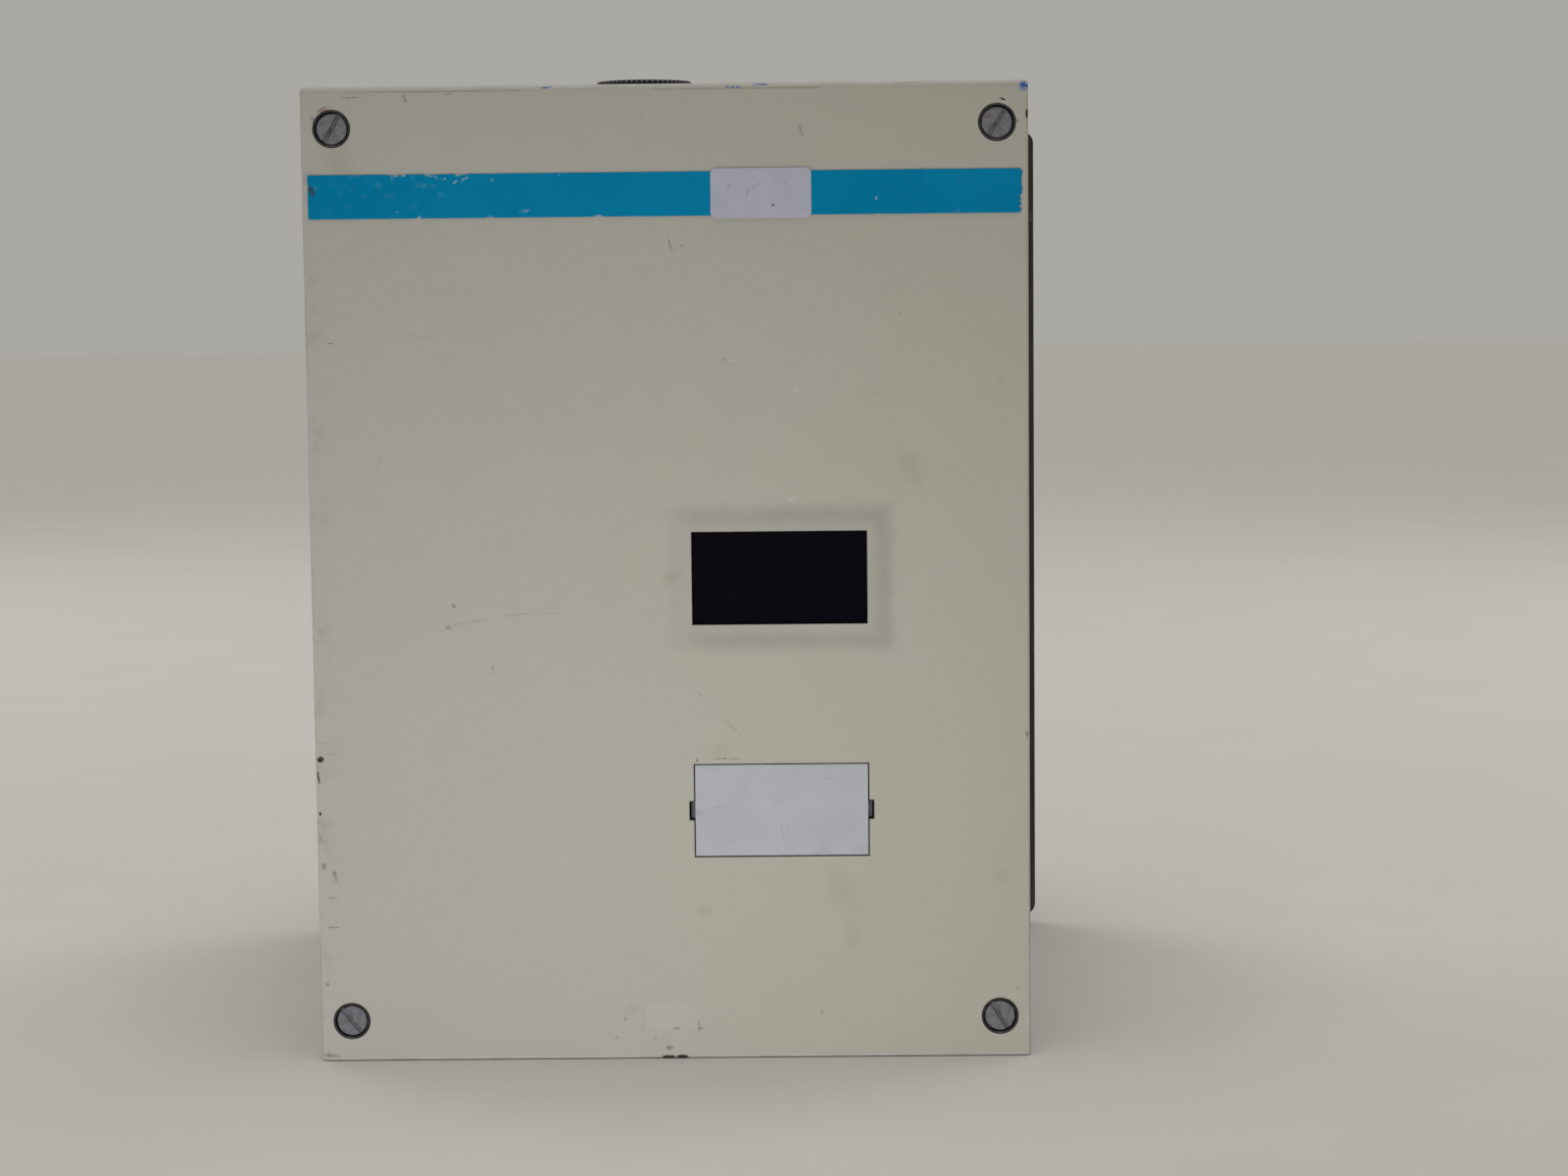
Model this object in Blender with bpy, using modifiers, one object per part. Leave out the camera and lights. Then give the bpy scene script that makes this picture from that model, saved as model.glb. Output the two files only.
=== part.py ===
"""Wall-mounted drive controller box with a lift-off front cover.

A sheet steel housing on a wide rear mounting plate holds a finned heat sink, a fan, a power
board and a control board. The front cover wraps round the housing and is held by four captive
slotted screws. It has a dark display window and, below it, a blanking hatch over the service
connector and the setting keys. A knurled cable entry stands on the top plate.

Frame: +X to the right seen from the front, +Y towards the wall, +Z up. The origin is the middle
of the base, so the box stands on z = 0. All lengths are in metres.
"""

import math

import bmesh
import bpy
from mathutils import Matrix, Vector

MM = 0.001

# Driving dimensions -------------------------------------------------------------------------
COVER_WIDTH = 210 * MM
COVER_HEIGHT = 286 * MM
COVER_LIP = 20 * MM
SHEET = 1.5 * MM
BEND = 1.8 * MM
PLATE_DEPTH = 196 * MM  # from the cover's face to the front of the rear plate
PLATE_SHEET = 2.5 * MM
PLATE_WIDTH = 240 * MM
PLATE_LOW = 3 * MM
PLATE_HIGH = 279.5 * MM

GAP = 0.3 * MM  # between pieces that touch on the real box
FOIL = 0.25 * MM
FOIL_GAP = 0.05 * MM
FIT = 0.5 * MM  # between the cover's lip and the housing

# The box's depth is centred on the origin, from the front of the label to the back of the plate.
LABEL_FRONT = 2 * (FOIL + FOIL_GAP)
FRONT = -(PLATE_DEPTH + PLATE_SHEET - LABEL_FRONT) / 2

HOUSING_X = COVER_WIDTH / 2 - SHEET - FIT
HOUSING_LOW = SHEET + FIT
HOUSING_HIGH = COVER_HEIGHT - SHEET - FIT
FLANGE = 14 * MM
FLANGE_DEPTH = 6.5 * MM  # front of the housing's front flange
INNER_X = HOUSING_X - SHEET

# Front face layout
SCREW_FROM_SIDE = 9 * MM
SCREW_FROM_END = 12 * MM
OPENING_X = 32 * MM  # middle of the display window and of the service hatch
WINDOW_Z = 142.7 * MM
WINDOW_SIZE = (51.4 * MM, 27.4 * MM)
HATCH_Z = 74.1 * MM
HATCH_OPENING = (51.6 * MM, 27.8 * MM)
NOTCH_HEIGHT = 5.8 * MM
NOTCH_REACH = 1.4 * MM
BAND_Z = 254.4 * MM
BAND_SIZE = (206.5 * MM, 12.7 * MM)
LABEL_X = 27.75 * MM
LABEL_SIZE = (29.2 * MM, 14.6 * MM)

# Captive M5 screws: radii and depths behind the cover's face
CUP_RADIUS = 5.4 * MM
CUP_BORE = 4.85 * MM
HEAD_RADIUS = 4.45 * MM
HEAD_FRONT = 0.3 * MM
HEAD_BACK = 3.5 * MM
SHANK_RADIUS = 2.45 * MM
SHANK_END = 10.5 * MM
SLOT_WIDTH = 1.2 * MM
SLOT_DEPTH = 1.5 * MM
CORNERS = {  # name: (side, end, how far the slot is turned from level, clockwise)
    "top_left": (-1, 1, -62),
    "top_right": (1, 1, -57),
    "bottom_left": (-1, -1, 50),
    "bottom_right": (1, -1, 58),
}

# Depths of what is inside, behind the cover's face
BOARD_DEPTH = 26 * MM
CARRIER_DEPTH = 34 * MM
POWER_BOARD_DEPTH = 104 * MM
SINK_DEPTH = 126 * MM
SINK_BASE = 8 * MM
SINK_END = 192 * MM
BOARD = 1.6 * MM

ENTRY_X = -10.2 * MM
ENTRY_DEPTH = 96 * MM
ENTRY_RADIUS = 15.3 * MM
ENTRY_TEETH = 56
SLEEVE_RADIUS = 11 * MM
GROMMET_XS = (-60 * MM, -15 * MM, 30 * MM)
GROMMET_DEPTH = 37 * MM
FAN_SIZE = 60 * MM
FAN_DEPTH = 163 * MM
FAN_BORE = 28.5 * MM

PARTS = bpy.data.collections.new("drive_controller_box")
CUTTERS = bpy.data.collections.new("cutters")


def depth(distance):
    """World y of a plane that lies this far behind the cover's face."""
    return FRONT + distance


# Materials -----------------------------------------------------------------------------------
def make_material(name, colour, roughness, metallic=0.0):
    material = bpy.data.materials.new(name)
    material.use_nodes = True
    shader = material.node_tree.nodes["Principled BSDF"]
    shader.inputs["Base Color"].default_value = (*colour, 1.0)
    shader.inputs["Roughness"].default_value = roughness
    shader.inputs["Metallic"].default_value = metallic
    material.diffuse_color = (*colour, 1.0)
    return material


def make_materials():
    table = {
        "cover_paint": ((0.50, 0.49, 0.42), 0.55, 0.0),
        "band_blue": ((0.005, 0.20, 0.36), 0.45, 0.0),
        "label_paper": ((0.52, 0.50, 0.56), 0.6, 0.0),
        "hatch_plastic": ((0.50, 0.51, 0.55), 0.5, 0.0),
        "window_smoke": ((0.01, 0.008, 0.012), 0.15, 0.0),
        "black_plastic": ((0.02, 0.02, 0.02), 0.5, 0.0),
        "black_rubber": ((0.015, 0.015, 0.015), 0.8, 0.0),
        "screw_steel": ((0.20, 0.20, 0.21), 0.45, 0.9),
        "zinc_steel": ((0.55, 0.56, 0.56), 0.35, 0.9),
        "dark_plate": ((0.03, 0.03, 0.03), 0.5, 0.3),
        "sink_aluminium": ((0.62, 0.63, 0.64), 0.4, 0.9),
        "board_green": ((0.02, 0.16, 0.07), 0.4, 0.0),
        "terminal_grey": ((0.35, 0.37, 0.36), 0.5, 0.0),
        "terminal_green": ((0.05, 0.28, 0.12), 0.5, 0.0),
        "capacitor_sleeve": ((0.03, 0.05, 0.16), 0.35, 0.0),
        "display_red": ((0.10, 0.01, 0.01), 0.3, 0.0),
        "key_grey": ((0.30, 0.30, 0.31), 0.5, 0.0),
        "core_steel": ((0.16, 0.15, 0.15), 0.5, 0.6),
        "winding_copper": ((0.45, 0.16, 0.06), 0.35, 0.7),
        "ribbon_grey": ((0.42, 0.42, 0.43), 0.5, 0.0),
        "brass": ((0.60, 0.43, 0.16), 0.35, 0.9),
    }
    return {name: make_material(name, *values) for name, values in table.items()}


# Shape helpers -------------------------------------------------------------------------------
def link(name, mesh, material, location=(0, 0, 0), rotation=(0, 0, 0)):
    """A part of the box if it has a material, or else a hidden cutter."""
    obj = bpy.data.objects.new(name, mesh)
    obj.location = location
    obj.rotation_euler = rotation
    if material is None:
        CUTTERS.objects.link(obj)
        obj.hide_render = True
        obj.display_type = "WIRE"
    else:
        mesh.materials.append(material)
        PARTS.objects.link(obj)
    return obj


def mesh_from(name, shape):
    mesh = bpy.data.meshes.new(name)
    shape.to_mesh(mesh)
    shape.free()
    return mesh


def block(name, low, high, material=None):
    """A box between two corners, with its origin in its middle."""
    low, high = Vector(low), Vector(high)
    shape = bmesh.new()
    bmesh.ops.create_cube(shape, size=1)
    bmesh.ops.scale(shape, vec=high - low, verts=shape.verts)
    return link(name, mesh_from(name, shape), material, (low + high) / 2)


def cylinder(name, radius, low, high, axis="Z", material=None, segments=32):
    """A round bar from point low to point high, which differ along one axis only."""
    low, high = Vector(low), Vector(high)
    shape = bmesh.new()
    bmesh.ops.create_cone(
        shape,
        cap_ends=True,
        segments=segments,
        radius1=radius,
        radius2=radius,
        depth=(high - low).length,
    )
    turn = {"X": (0, math.pi / 2, 0), "Y": (math.pi / 2, 0, 0), "Z": (0, 0, 0)}[axis]
    return link(name, mesh_from(name, shape), material, (low + high) / 2, turn)


def turned(name, profile, material, location, rotation=(0, 0, 0), segments=32):
    """A turned piece: (radius, height) points, down the outer side and back up the inner one."""
    shape = bmesh.new()
    points = [shape.verts.new((radius, 0, height)) for radius, height in profile]
    for here, there in zip(points, points[1:]):
        shape.edges.new((here, there))
    if min(radius for radius, _ in profile) > 0:
        shape.edges.new((points[-1], points[0]))
    obj = link(name, mesh_from(name, shape), material, location, rotation)
    screw = obj.modifiers.new("turn", "SCREW")
    screw.steps = screw.render_steps = segments
    screw.use_merge_vertices = True
    screw.merge_threshold = 0.01 * MM
    return obj


def outline_plate(name, outline, thickness, material, location=(0, 0, 0), rotation=(0, 0, 0)):
    """A flat plate of the given closed outline, centred on its thickness along local Z."""
    curve = bpy.data.curves.new(name, "CURVE")
    curve.dimensions = "2D"
    curve.fill_mode = "BOTH"
    curve.extrude = thickness / 2
    spline = curve.splines.new("POLY")
    spline.points.add(len(outline) - 1)
    for point, (x, y) in zip(spline.points, outline):
        point.co = (x, y, 0, 1)
    spline.use_cyclic_u = True
    source = bpy.data.objects.new(name + "_outline", curve)
    bpy.context.scene.collection.objects.link(source)
    graph = bpy.context.evaluated_depsgraph_get()
    mesh = bpy.data.meshes.new_from_object(source.evaluated_get(graph))
    bpy.data.objects.remove(source)
    shape = bmesh.new()
    shape.from_mesh(mesh)
    bmesh.ops.remove_doubles(shape, verts=shape.verts, dist=0.001 * MM)
    bmesh.ops.recalc_face_normals(shape, faces=shape.faces)
    shape.to_mesh(mesh)
    shape.free()
    mesh.name = name
    return link(name, mesh, material, location, rotation)


def bent_sheet(name, path, axis, low, high, material, thickness=SHEET, bend=BEND):
    """A sheet bent along a path of (a, b) points and running from low to high along the axis.

    For axis Z the path's points are (x, y), and for axis X they are (y, z). The path is the
    sheet's outer side, and the sheet's thickness goes to the left of the way along it.
    """
    shape = bmesh.new()
    rows = []
    for end in (low, high):
        if axis == "Z":
            rows.append([shape.verts.new((a, b, end)) for a, b in path])
        else:
            rows.append([shape.verts.new((end, a, b)) for a, b in path])
    for i in range(len(path) - 1):
        corners = (rows[0][i], rows[0][i + 1], rows[1][i + 1], rows[1][i])
        shape.faces.new(corners)
    folds = [
        edge
        for edge in shape.edges
        if len(edge.link_faces) == 2
    ]
    bmesh.ops.bevel(
        shape, geom=folds, offset=bend, segments=2, profile=0.5, affect="EDGES"
    )
    obj = link(name, mesh_from(name, shape), material)
    solidify = obj.modifiers.new("sheet", "SOLIDIFY")
    solidify.thickness = thickness
    solidify.offset = -1
    solidify.use_even_offset = True
    return obj


def join(obj, other, operation="UNION"):
    """Adds the hidden object to a part, or cuts it away."""
    boolean = obj.modifiers.new(other.name, "BOOLEAN")
    boolean.operation = operation
    boolean.object = other
    boolean.solver = "EXACT"


def cut(obj, cutter):
    join(obj, cutter, "DIFFERENCE")


def many_blocks(name, boxes):
    """One hidden object that holds several boxes, each given by its low and high corners."""
    shape = bmesh.new()
    for low, high in boxes:
        low, high = Vector(low), Vector(high)
        made = bmesh.ops.create_cube(shape, size=1)["verts"]
        bmesh.ops.scale(shape, vec=high - low, verts=made)
        bmesh.ops.translate(shape, vec=(low + high) / 2, verts=made)
    return link(name, mesh_from(name, shape), None)


def many_cylinders(name, radius, ends, axis="Z", segments=32):
    """One hidden object that holds several round bars of one radius, from low to high points."""
    turn = {"X": ("Y", 90), "Y": ("X", 90), "Z": ("Z", 0)}[axis]
    shape = bmesh.new()
    for low, high in ends:
        low, high = Vector(low), Vector(high)
        place = Matrix.Translation((low + high) / 2) @ Matrix.Rotation(
            math.radians(turn[1]), 4, turn[0]
        )
        bmesh.ops.create_cone(
            shape,
            cap_ends=True,
            segments=segments,
            radius1=radius,
            radius2=radius,
            depth=(high - low).length,
            matrix=place,
        )
    return link(name, mesh_from(name, shape), None)


def round_edges(obj, width, segments=2, angle=40):
    bevel = obj.modifiers.new("round", "BEVEL")
    bevel.width = width
    bevel.segments = segments
    bevel.limit_method = "ANGLE"
    bevel.angle_limit = math.radians(angle)
    return obj


def rounded_rectangle(width, height, radius, steps=4):
    """Outline points of a rectangle with round corners, centred on the origin."""
    points = []
    for index, (sx, sy) in enumerate(((1, 1), (-1, 1), (-1, -1), (1, -1))):
        for step in range(steps + 1):
            angle = (index + step / steps) * math.pi / 2
            points.append(
                (
                    sx * (width / 2 - radius) + radius * math.cos(angle),
                    sy * (height / 2 - radius) + radius * math.sin(angle),
                )
            )
    return points


def facing_front(x, distance, z):
    """Location and rotation of a piece whose local Z points out of the cover's face."""
    return (x, depth(distance), z), (math.pi / 2, 0, 0)


# Front cover ----------------------------------------------------------------------------------
def screw_place(side, end):
    x = side * (COVER_WIDTH / 2 - SCREW_FROM_SIDE)
    z = COVER_HEIGHT / 2 + end * (COVER_HEIGHT / 2 - SCREW_FROM_END)
    return x, z


def make_cover_tray(material):
    """The sheet steel tray: an open box with rounded folds, given its thickness inwards."""
    shape = bmesh.new()
    bmesh.ops.create_cube(shape, size=1)
    bmesh.ops.scale(shape, vec=(COVER_WIDTH, COVER_LIP, COVER_HEIGHT), verts=shape.verts)
    back = [face for face in shape.faces if face.normal.y > 0.5]
    bmesh.ops.delete(shape, geom=back, context="FACES_ONLY")
    folds = [edge for edge in shape.edges if len(edge.link_faces) == 2]
    bmesh.ops.bevel(shape, geom=folds, offset=BEND, segments=2, profile=0.5, affect="EDGES")
    middle = (0, depth(COVER_LIP / 2), COVER_HEIGHT / 2)
    tray = link("front_cover", mesh_from("front_cover", shape), material, middle)
    solidify = tray.modifiers.new("sheet", "SOLIDIFY")
    solidify.thickness = SHEET
    solidify.offset = -1
    solidify.use_even_offset = True
    return tray


def hatch_outline():
    """The hatch opening: a rectangle with a notch half way up each side."""
    right = [
        (HATCH_OPENING[0] / 2, -HATCH_OPENING[1] / 2),
        (HATCH_OPENING[0] / 2, -NOTCH_HEIGHT / 2),
        (HATCH_OPENING[0] / 2 + NOTCH_REACH, -NOTCH_HEIGHT / 2),
        (HATCH_OPENING[0] / 2 + NOTCH_REACH, NOTCH_HEIGHT / 2),
        (HATCH_OPENING[0] / 2, NOTCH_HEIGHT / 2),
        (HATCH_OPENING[0] / 2, HATCH_OPENING[1] / 2),
    ]
    return right + [(-x, z) for x, z in reversed(right)]


def make_cover(materials):
    cover = make_cover_tray(materials["cover_paint"])
    through = 4 * SHEET
    window = block(
        "window_cutter",
        (OPENING_X - WINDOW_SIZE[0] / 2, depth(-through), WINDOW_Z - WINDOW_SIZE[1] / 2),
        (OPENING_X + WINDOW_SIZE[0] / 2, depth(through), WINDOW_Z + WINDOW_SIZE[1] / 2),
    )
    cut(cover, window)
    place, turn = facing_front(OPENING_X, 0, HATCH_Z)
    cut(cover, outline_plate("hatch_cutter", hatch_outline(), 2 * through, None, place, turn))
    holes = []
    for side, end, _ in CORNERS.values():
        x, z = screw_place(side, end)
        holes.append(((x, depth(-through), z), (x, depth(through), z)))
    cut(cover, many_cylinders("screw_hole_cutter", CUP_RADIUS + 0.1 * MM, holes, "Y", 24))


def make_band_and_label(materials):
    half_x, half_z = BAND_SIZE[0] / 2, BAND_SIZE[1] / 2
    block(
        "colour_band",
        (-half_x, depth(-FOIL_GAP - FOIL), BAND_Z - half_z),
        (half_x, depth(-FOIL_GAP), BAND_Z + half_z),
        materials["band_blue"],
    )
    place, turn = facing_front(LABEL_X, -LABEL_FRONT + FOIL / 2, BAND_Z)
    outline = rounded_rectangle(*LABEL_SIZE, 1.6 * MM)
    outline_plate("blank_label", outline, FOIL, materials["label_paper"], place, turn)


def make_window(materials):
    """The smoked filter is stuck behind the cover with a frame of foam tape."""
    margin = 4.8 * MM
    tape = 0.7 * MM
    filter_sheet = 2 * MM
    tape_front = SHEET + 0.1 * MM
    outer = (WINDOW_SIZE[0] + 2 * margin, WINDOW_SIZE[1] + 2 * margin)
    inner = (WINDOW_SIZE[0] + 2 * MM, WINDOW_SIZE[1] + 2 * MM)

    def slab(name, size, front, thickness, material=None):
        return block(
            name,
            (OPENING_X - size[0] / 2, depth(front), WINDOW_Z - size[1] / 2),
            (OPENING_X + size[0] / 2, depth(front + thickness), WINDOW_Z + size[1] / 2),
            material,
        )

    frame = slab("window_tape", outer, tape_front, tape, materials["black_rubber"])
    cut(frame, slab("tape_cutter", inner, tape_front - tape, 3 * tape))
    filter_front = tape_front + tape + 0.1 * MM
    pane = slab("window_filter", outer, filter_front, filter_sheet, materials["window_smoke"])
    round_edges(pane, 0.4 * MM, 1)


def make_hatch(materials):
    """The blanking hatch: a plate, a rim behind it and a hook in each notch."""
    edge = 0.35 * MM
    face_front, face_back = 0.25 * MM, 1.85 * MM
    rim_back = 5 * MM
    rim_inset, rim_wall = 1 * MM, 1.2 * MM
    hook_front, hook_back = SHEET + 0.6 * MM, SHEET + 2.2 * MM
    hook_reach = 0.9 * MM
    hook_half = NOTCH_HEIGHT / 2 - 0.4 * MM
    half_x = HATCH_OPENING[0] / 2 - edge
    half_z = HATCH_OPENING[1] / 2 - edge

    def slab(name, x, z, front, back, material=None):
        return block(
            name,
            (OPENING_X - x, depth(front), HATCH_Z - z),
            (OPENING_X + x, depth(back), HATCH_Z + z),
            material,
        )

    hatch = slab(
        "service_hatch", half_x, half_z, face_front, face_back, materials["hatch_plastic"]
    )
    rim_x, rim_z = half_x - rim_inset, half_z - rim_inset
    rim_front = face_back - 0.5 * MM
    join(hatch, slab("hatch_rim", rim_x, rim_z, rim_front, rim_back))
    hook_x = HATCH_OPENING[0] / 2 + hook_reach
    join(hatch, slab("hatch_hooks", hook_x, hook_half, hook_front, hook_back))
    hollow_x, hollow_z = rim_x - rim_wall, rim_z - rim_wall
    cut(hatch, slab("hatch_hollow", hollow_x, hollow_z, face_back, rim_back + 1 * MM))


def make_screws(materials):
    """Four captive screws, each with a pressed cup, a washer under its head and a nut insert."""
    floor_back, floor_front = 5.2 * MM, 4.4 * MM
    rim_round = 0.25 * MM
    lug_radius = 6.2 * MM
    lug_front, lug_back = SHEET + 0.2 * MM, SHEET + 1 * MM
    neck_hole = SHANK_RADIUS + 0.25 * MM
    cup = [
        (CUP_BORE, 0),
        (CUP_RADIUS - rim_round, 0),
        (CUP_RADIUS, -rim_round),
        (CUP_RADIUS, -lug_front),
        (lug_radius, -lug_front),
        (lug_radius, -lug_back),
        (CUP_RADIUS, -lug_back),
        (CUP_RADIUS, -floor_back),
        (neck_hole, -floor_back),
        (neck_hole, -floor_front),
        (CUP_BORE, -floor_front),
    ]
    washer_front, washer_back = HEAD_BACK + 0.1 * MM, HEAD_BACK + 0.8 * MM
    washer_radius = CUP_BORE - 0.2 * MM
    washer = [
        (washer_radius, -washer_front),
        (washer_radius, -washer_back),
        (neck_hole, -washer_back),
        (neck_hole, -washer_front),
    ]
    chamfer = 0.5 * MM
    screw = [
        (0, -HEAD_FRONT),
        (HEAD_RADIUS - chamfer, -HEAD_FRONT),
        (HEAD_RADIUS, -HEAD_FRONT - chamfer),
        (HEAD_RADIUS, -HEAD_BACK),
        (SHANK_RADIUS, -HEAD_BACK),
        (SHANK_RADIUS, -SHANK_END + 1 * MM),
        (SHANK_RADIUS - 0.8 * MM, -SHANK_END),
        (0, -SHANK_END),
    ]
    barrel_radius = 3.5 * MM
    barrel_back = FLANGE_DEPTH + 12 * MM
    bore = SHANK_RADIUS + 0.15 * MM
    insert = [
        (4.7 * MM, -FLANGE_DEPTH + 0.8 * MM),
        (4.7 * MM, -FLANGE_DEPTH + 0.1 * MM),
        (barrel_radius, -FLANGE_DEPTH + 0.1 * MM),
        (barrel_radius, -barrel_back),
        (bore, -barrel_back),
        (bore, -FLANGE_DEPTH + 0.8 * MM),
    ]
    for corner, (side, end, slot_turn) in CORNERS.items():
        x, z = screw_place(side, end)
        place, turn = facing_front(x, 0, z)
        turned("screw_cup_" + corner, cup, materials["screw_steel"], place, turn, 20)
        turned("screw_washer_" + corner, washer, materials["zinc_steel"], place, turn, 20)
        turned("nut_insert_" + corner, insert, materials["zinc_steel"], place, turn, 16)
        slotted = turned(
            "cover_screw_" + corner, screw, materials["screw_steel"], place, turn, 24
        )
        slot = block(
            "slot_cutter_" + corner,
            (-2 * HEAD_RADIUS, -SLOT_WIDTH / 2, -HEAD_FRONT - SLOT_DEPTH),
            (2 * HEAD_RADIUS, SLOT_WIDTH / 2, SLOT_DEPTH),
        )
        slot.parent = slotted
        slotted.rotation_euler = (math.pi / 2, math.radians(slot_turn), 0)
        cut(slotted, slot)


# Housing --------------------------------------------------------------------------------------
def slot_row(xs, low, high, width):
    """Boxes for a row of slots of one width: low and high hold the other two extents."""
    return [
        ((x - width / 2, low[0], low[1]), (x + width / 2, high[0], high[1])) for x in xs
    ]


def spread(count, first, last):
    """Evenly spaced places from first to last."""
    return [first + (last - first) * i / (count - 1) for i in range(count)]


def make_side_walls(materials):
    front, back = depth(FLANGE_DEPTH), depth(PLATE_DEPTH - GAP)
    low, high = HOUSING_LOW + SHEET + 0.2 * MM, HOUSING_HIGH - SHEET - 0.2 * MM
    inner = HOUSING_X - FLANGE
    for name, side in (("left", -1), ("right", 1)):
        path = [
            (side * inner, front),
            (side * HOUSING_X, front),
            (side * HOUSING_X, back),
            (side * inner, back),
        ]
        if side < 0:
            path.reverse()
        wall = bent_sheet(
            "side_wall_" + name, path, "Z", low, high, materials["cover_paint"]
        )
        slots = []
        for y in spread(9, depth(50 * MM), depth(106 * MM)):
            slots.append(
                ((side * HOUSING_X - 3 * SHEET, y - 1.5 * MM, 190 * MM),
                 (side * HOUSING_X + 3 * SHEET, y + 1.5 * MM, 230 * MM))
            )
        cut(wall, many_blocks("side_slot_cutter_" + name, slots))
        ends = [
            ((x, depth(0), z), (x, depth(2 * FLANGE_DEPTH), z))
            for x, z in (screw_place(side, end) for end in (-1, 1))
        ]
        cut(wall, many_cylinders("insert_hole_cutter_" + name, 3.7 * MM, ends, "Y", 16))


def make_top_plate(materials):
    front, back = depth(FLANGE_DEPTH), depth(PLATE_DEPTH - GAP)
    half = HOUSING_X - FLANGE - 0.5 * MM
    path = [(back, HOUSING_HIGH), (front, HOUSING_HIGH)]
    plate = bent_sheet(
        "top_plate", path, "X", -HOUSING_X, HOUSING_X, materials["cover_paint"]
    )
    for name, y in (("front", front), ("rear", back - SHEET)):
        flange = block(
            "top_flange_" + name,
            (-half, y, HOUSING_HIGH - FLANGE),
            (half, y + SHEET, HOUSING_HIGH - SHEET / 2),
        )
        join(plate, flange)
    hole = cylinder(
        "entry_hole_cutter",
        SLEEVE_RADIUS + 0.2 * MM,
        (ENTRY_X, depth(ENTRY_DEPTH), HOUSING_HIGH - 5 * MM),
        (ENTRY_X, depth(ENTRY_DEPTH), HOUSING_HIGH + 5 * MM),
    )
    cut(plate, hole)
    low_z, high_z = HOUSING_HIGH - 2 * SHEET, HOUSING_HIGH + SHEET
    rear = slot_row(
        spread(13, -84 * MM, 84 * MM),
        (depth(SINK_DEPTH + 14 * MM), low_z),
        (depth(SINK_END - 8 * MM), high_z),
        5 * MM,
    )
    beside_entry = [x for x in spread(13, -84 * MM, 84 * MM) if abs(x - ENTRY_X) > 26 * MM]
    front_row = slot_row(
        beside_entry, (depth(52 * MM), low_z), (depth(104 * MM), high_z), 5 * MM
    )
    cut(plate, many_blocks("top_slot_cutter", rear + front_row))


def make_bottom_plate(materials):
    front, back = depth(FLANGE_DEPTH), depth(PLATE_DEPTH - GAP)
    half = HOUSING_X - FLANGE - 0.5 * MM
    path = [(front, HOUSING_LOW), (back, HOUSING_LOW)]
    plate = bent_sheet(
        "bottom_plate", path, "X", -HOUSING_X, HOUSING_X, materials["cover_paint"]
    )
    for name, y in (("front", front), ("rear", back - SHEET)):
        flange = block(
            "bottom_flange_" + name,
            (-half, y, HOUSING_LOW + SHEET / 2),
            (half, y + SHEET, HOUSING_LOW + FLANGE),
        )
        join(plate, flange)
    below, above = HOUSING_LOW - 5 * MM, HOUSING_LOW + 5 * MM
    entries = [
        ((x, depth(GROMMET_DEPTH), below), (x, depth(GROMMET_DEPTH), above))
        for x in GROMMET_XS
    ]
    cut(plate, many_cylinders("grommet_hole_cutter", 10 * MM, entries, "Z", 24))
    fan = ((0, depth(FAN_DEPTH), below), (0, depth(FAN_DEPTH), above))
    cut(plate, many_cylinders("fan_hole_cutter", 28 * MM, [fan]))


def make_rear_plate(materials):
    """The wide mounting plate, with keyholes at the top and slots at the bottom."""
    place = (0, depth(PLATE_DEPTH + PLATE_SHEET / 2), (PLATE_LOW + PLATE_HIGH) / 2)
    plate = outline_plate(
        "rear_mounting_plate",
        rounded_rectangle(PLATE_WIDTH, PLATE_HIGH - PLATE_LOW, 4 * MM),
        PLATE_SHEET,
        materials["dark_plate"],
        place,
        (math.pi / 2, 0, 0),
    )
    hang_x, key_z, foot_z = 112 * MM, 250 * MM, 22 * MM
    front, back = depth(PLATE_DEPTH - 5 * MM), depth(PLATE_DEPTH + 10 * MM)
    heads = [((x, front, key_z), (x, back, key_z)) for x in (-hang_x, hang_x)]
    cut(plate, many_cylinders("keyhole_cutter", 5.5 * MM, heads, "Y", 24))
    slots = []
    for x in (-hang_x, hang_x):
        slots.append(((x - 3 * MM, front, key_z), (x + 3 * MM, back, key_z + 13 * MM)))
        slots.append(
            ((x - 3 * MM, front, foot_z - 6 * MM), (x + 3 * MM, back, foot_z + 6 * MM))
        )
    cut(plate, many_blocks("hanging_slot_cutter", slots))


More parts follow.
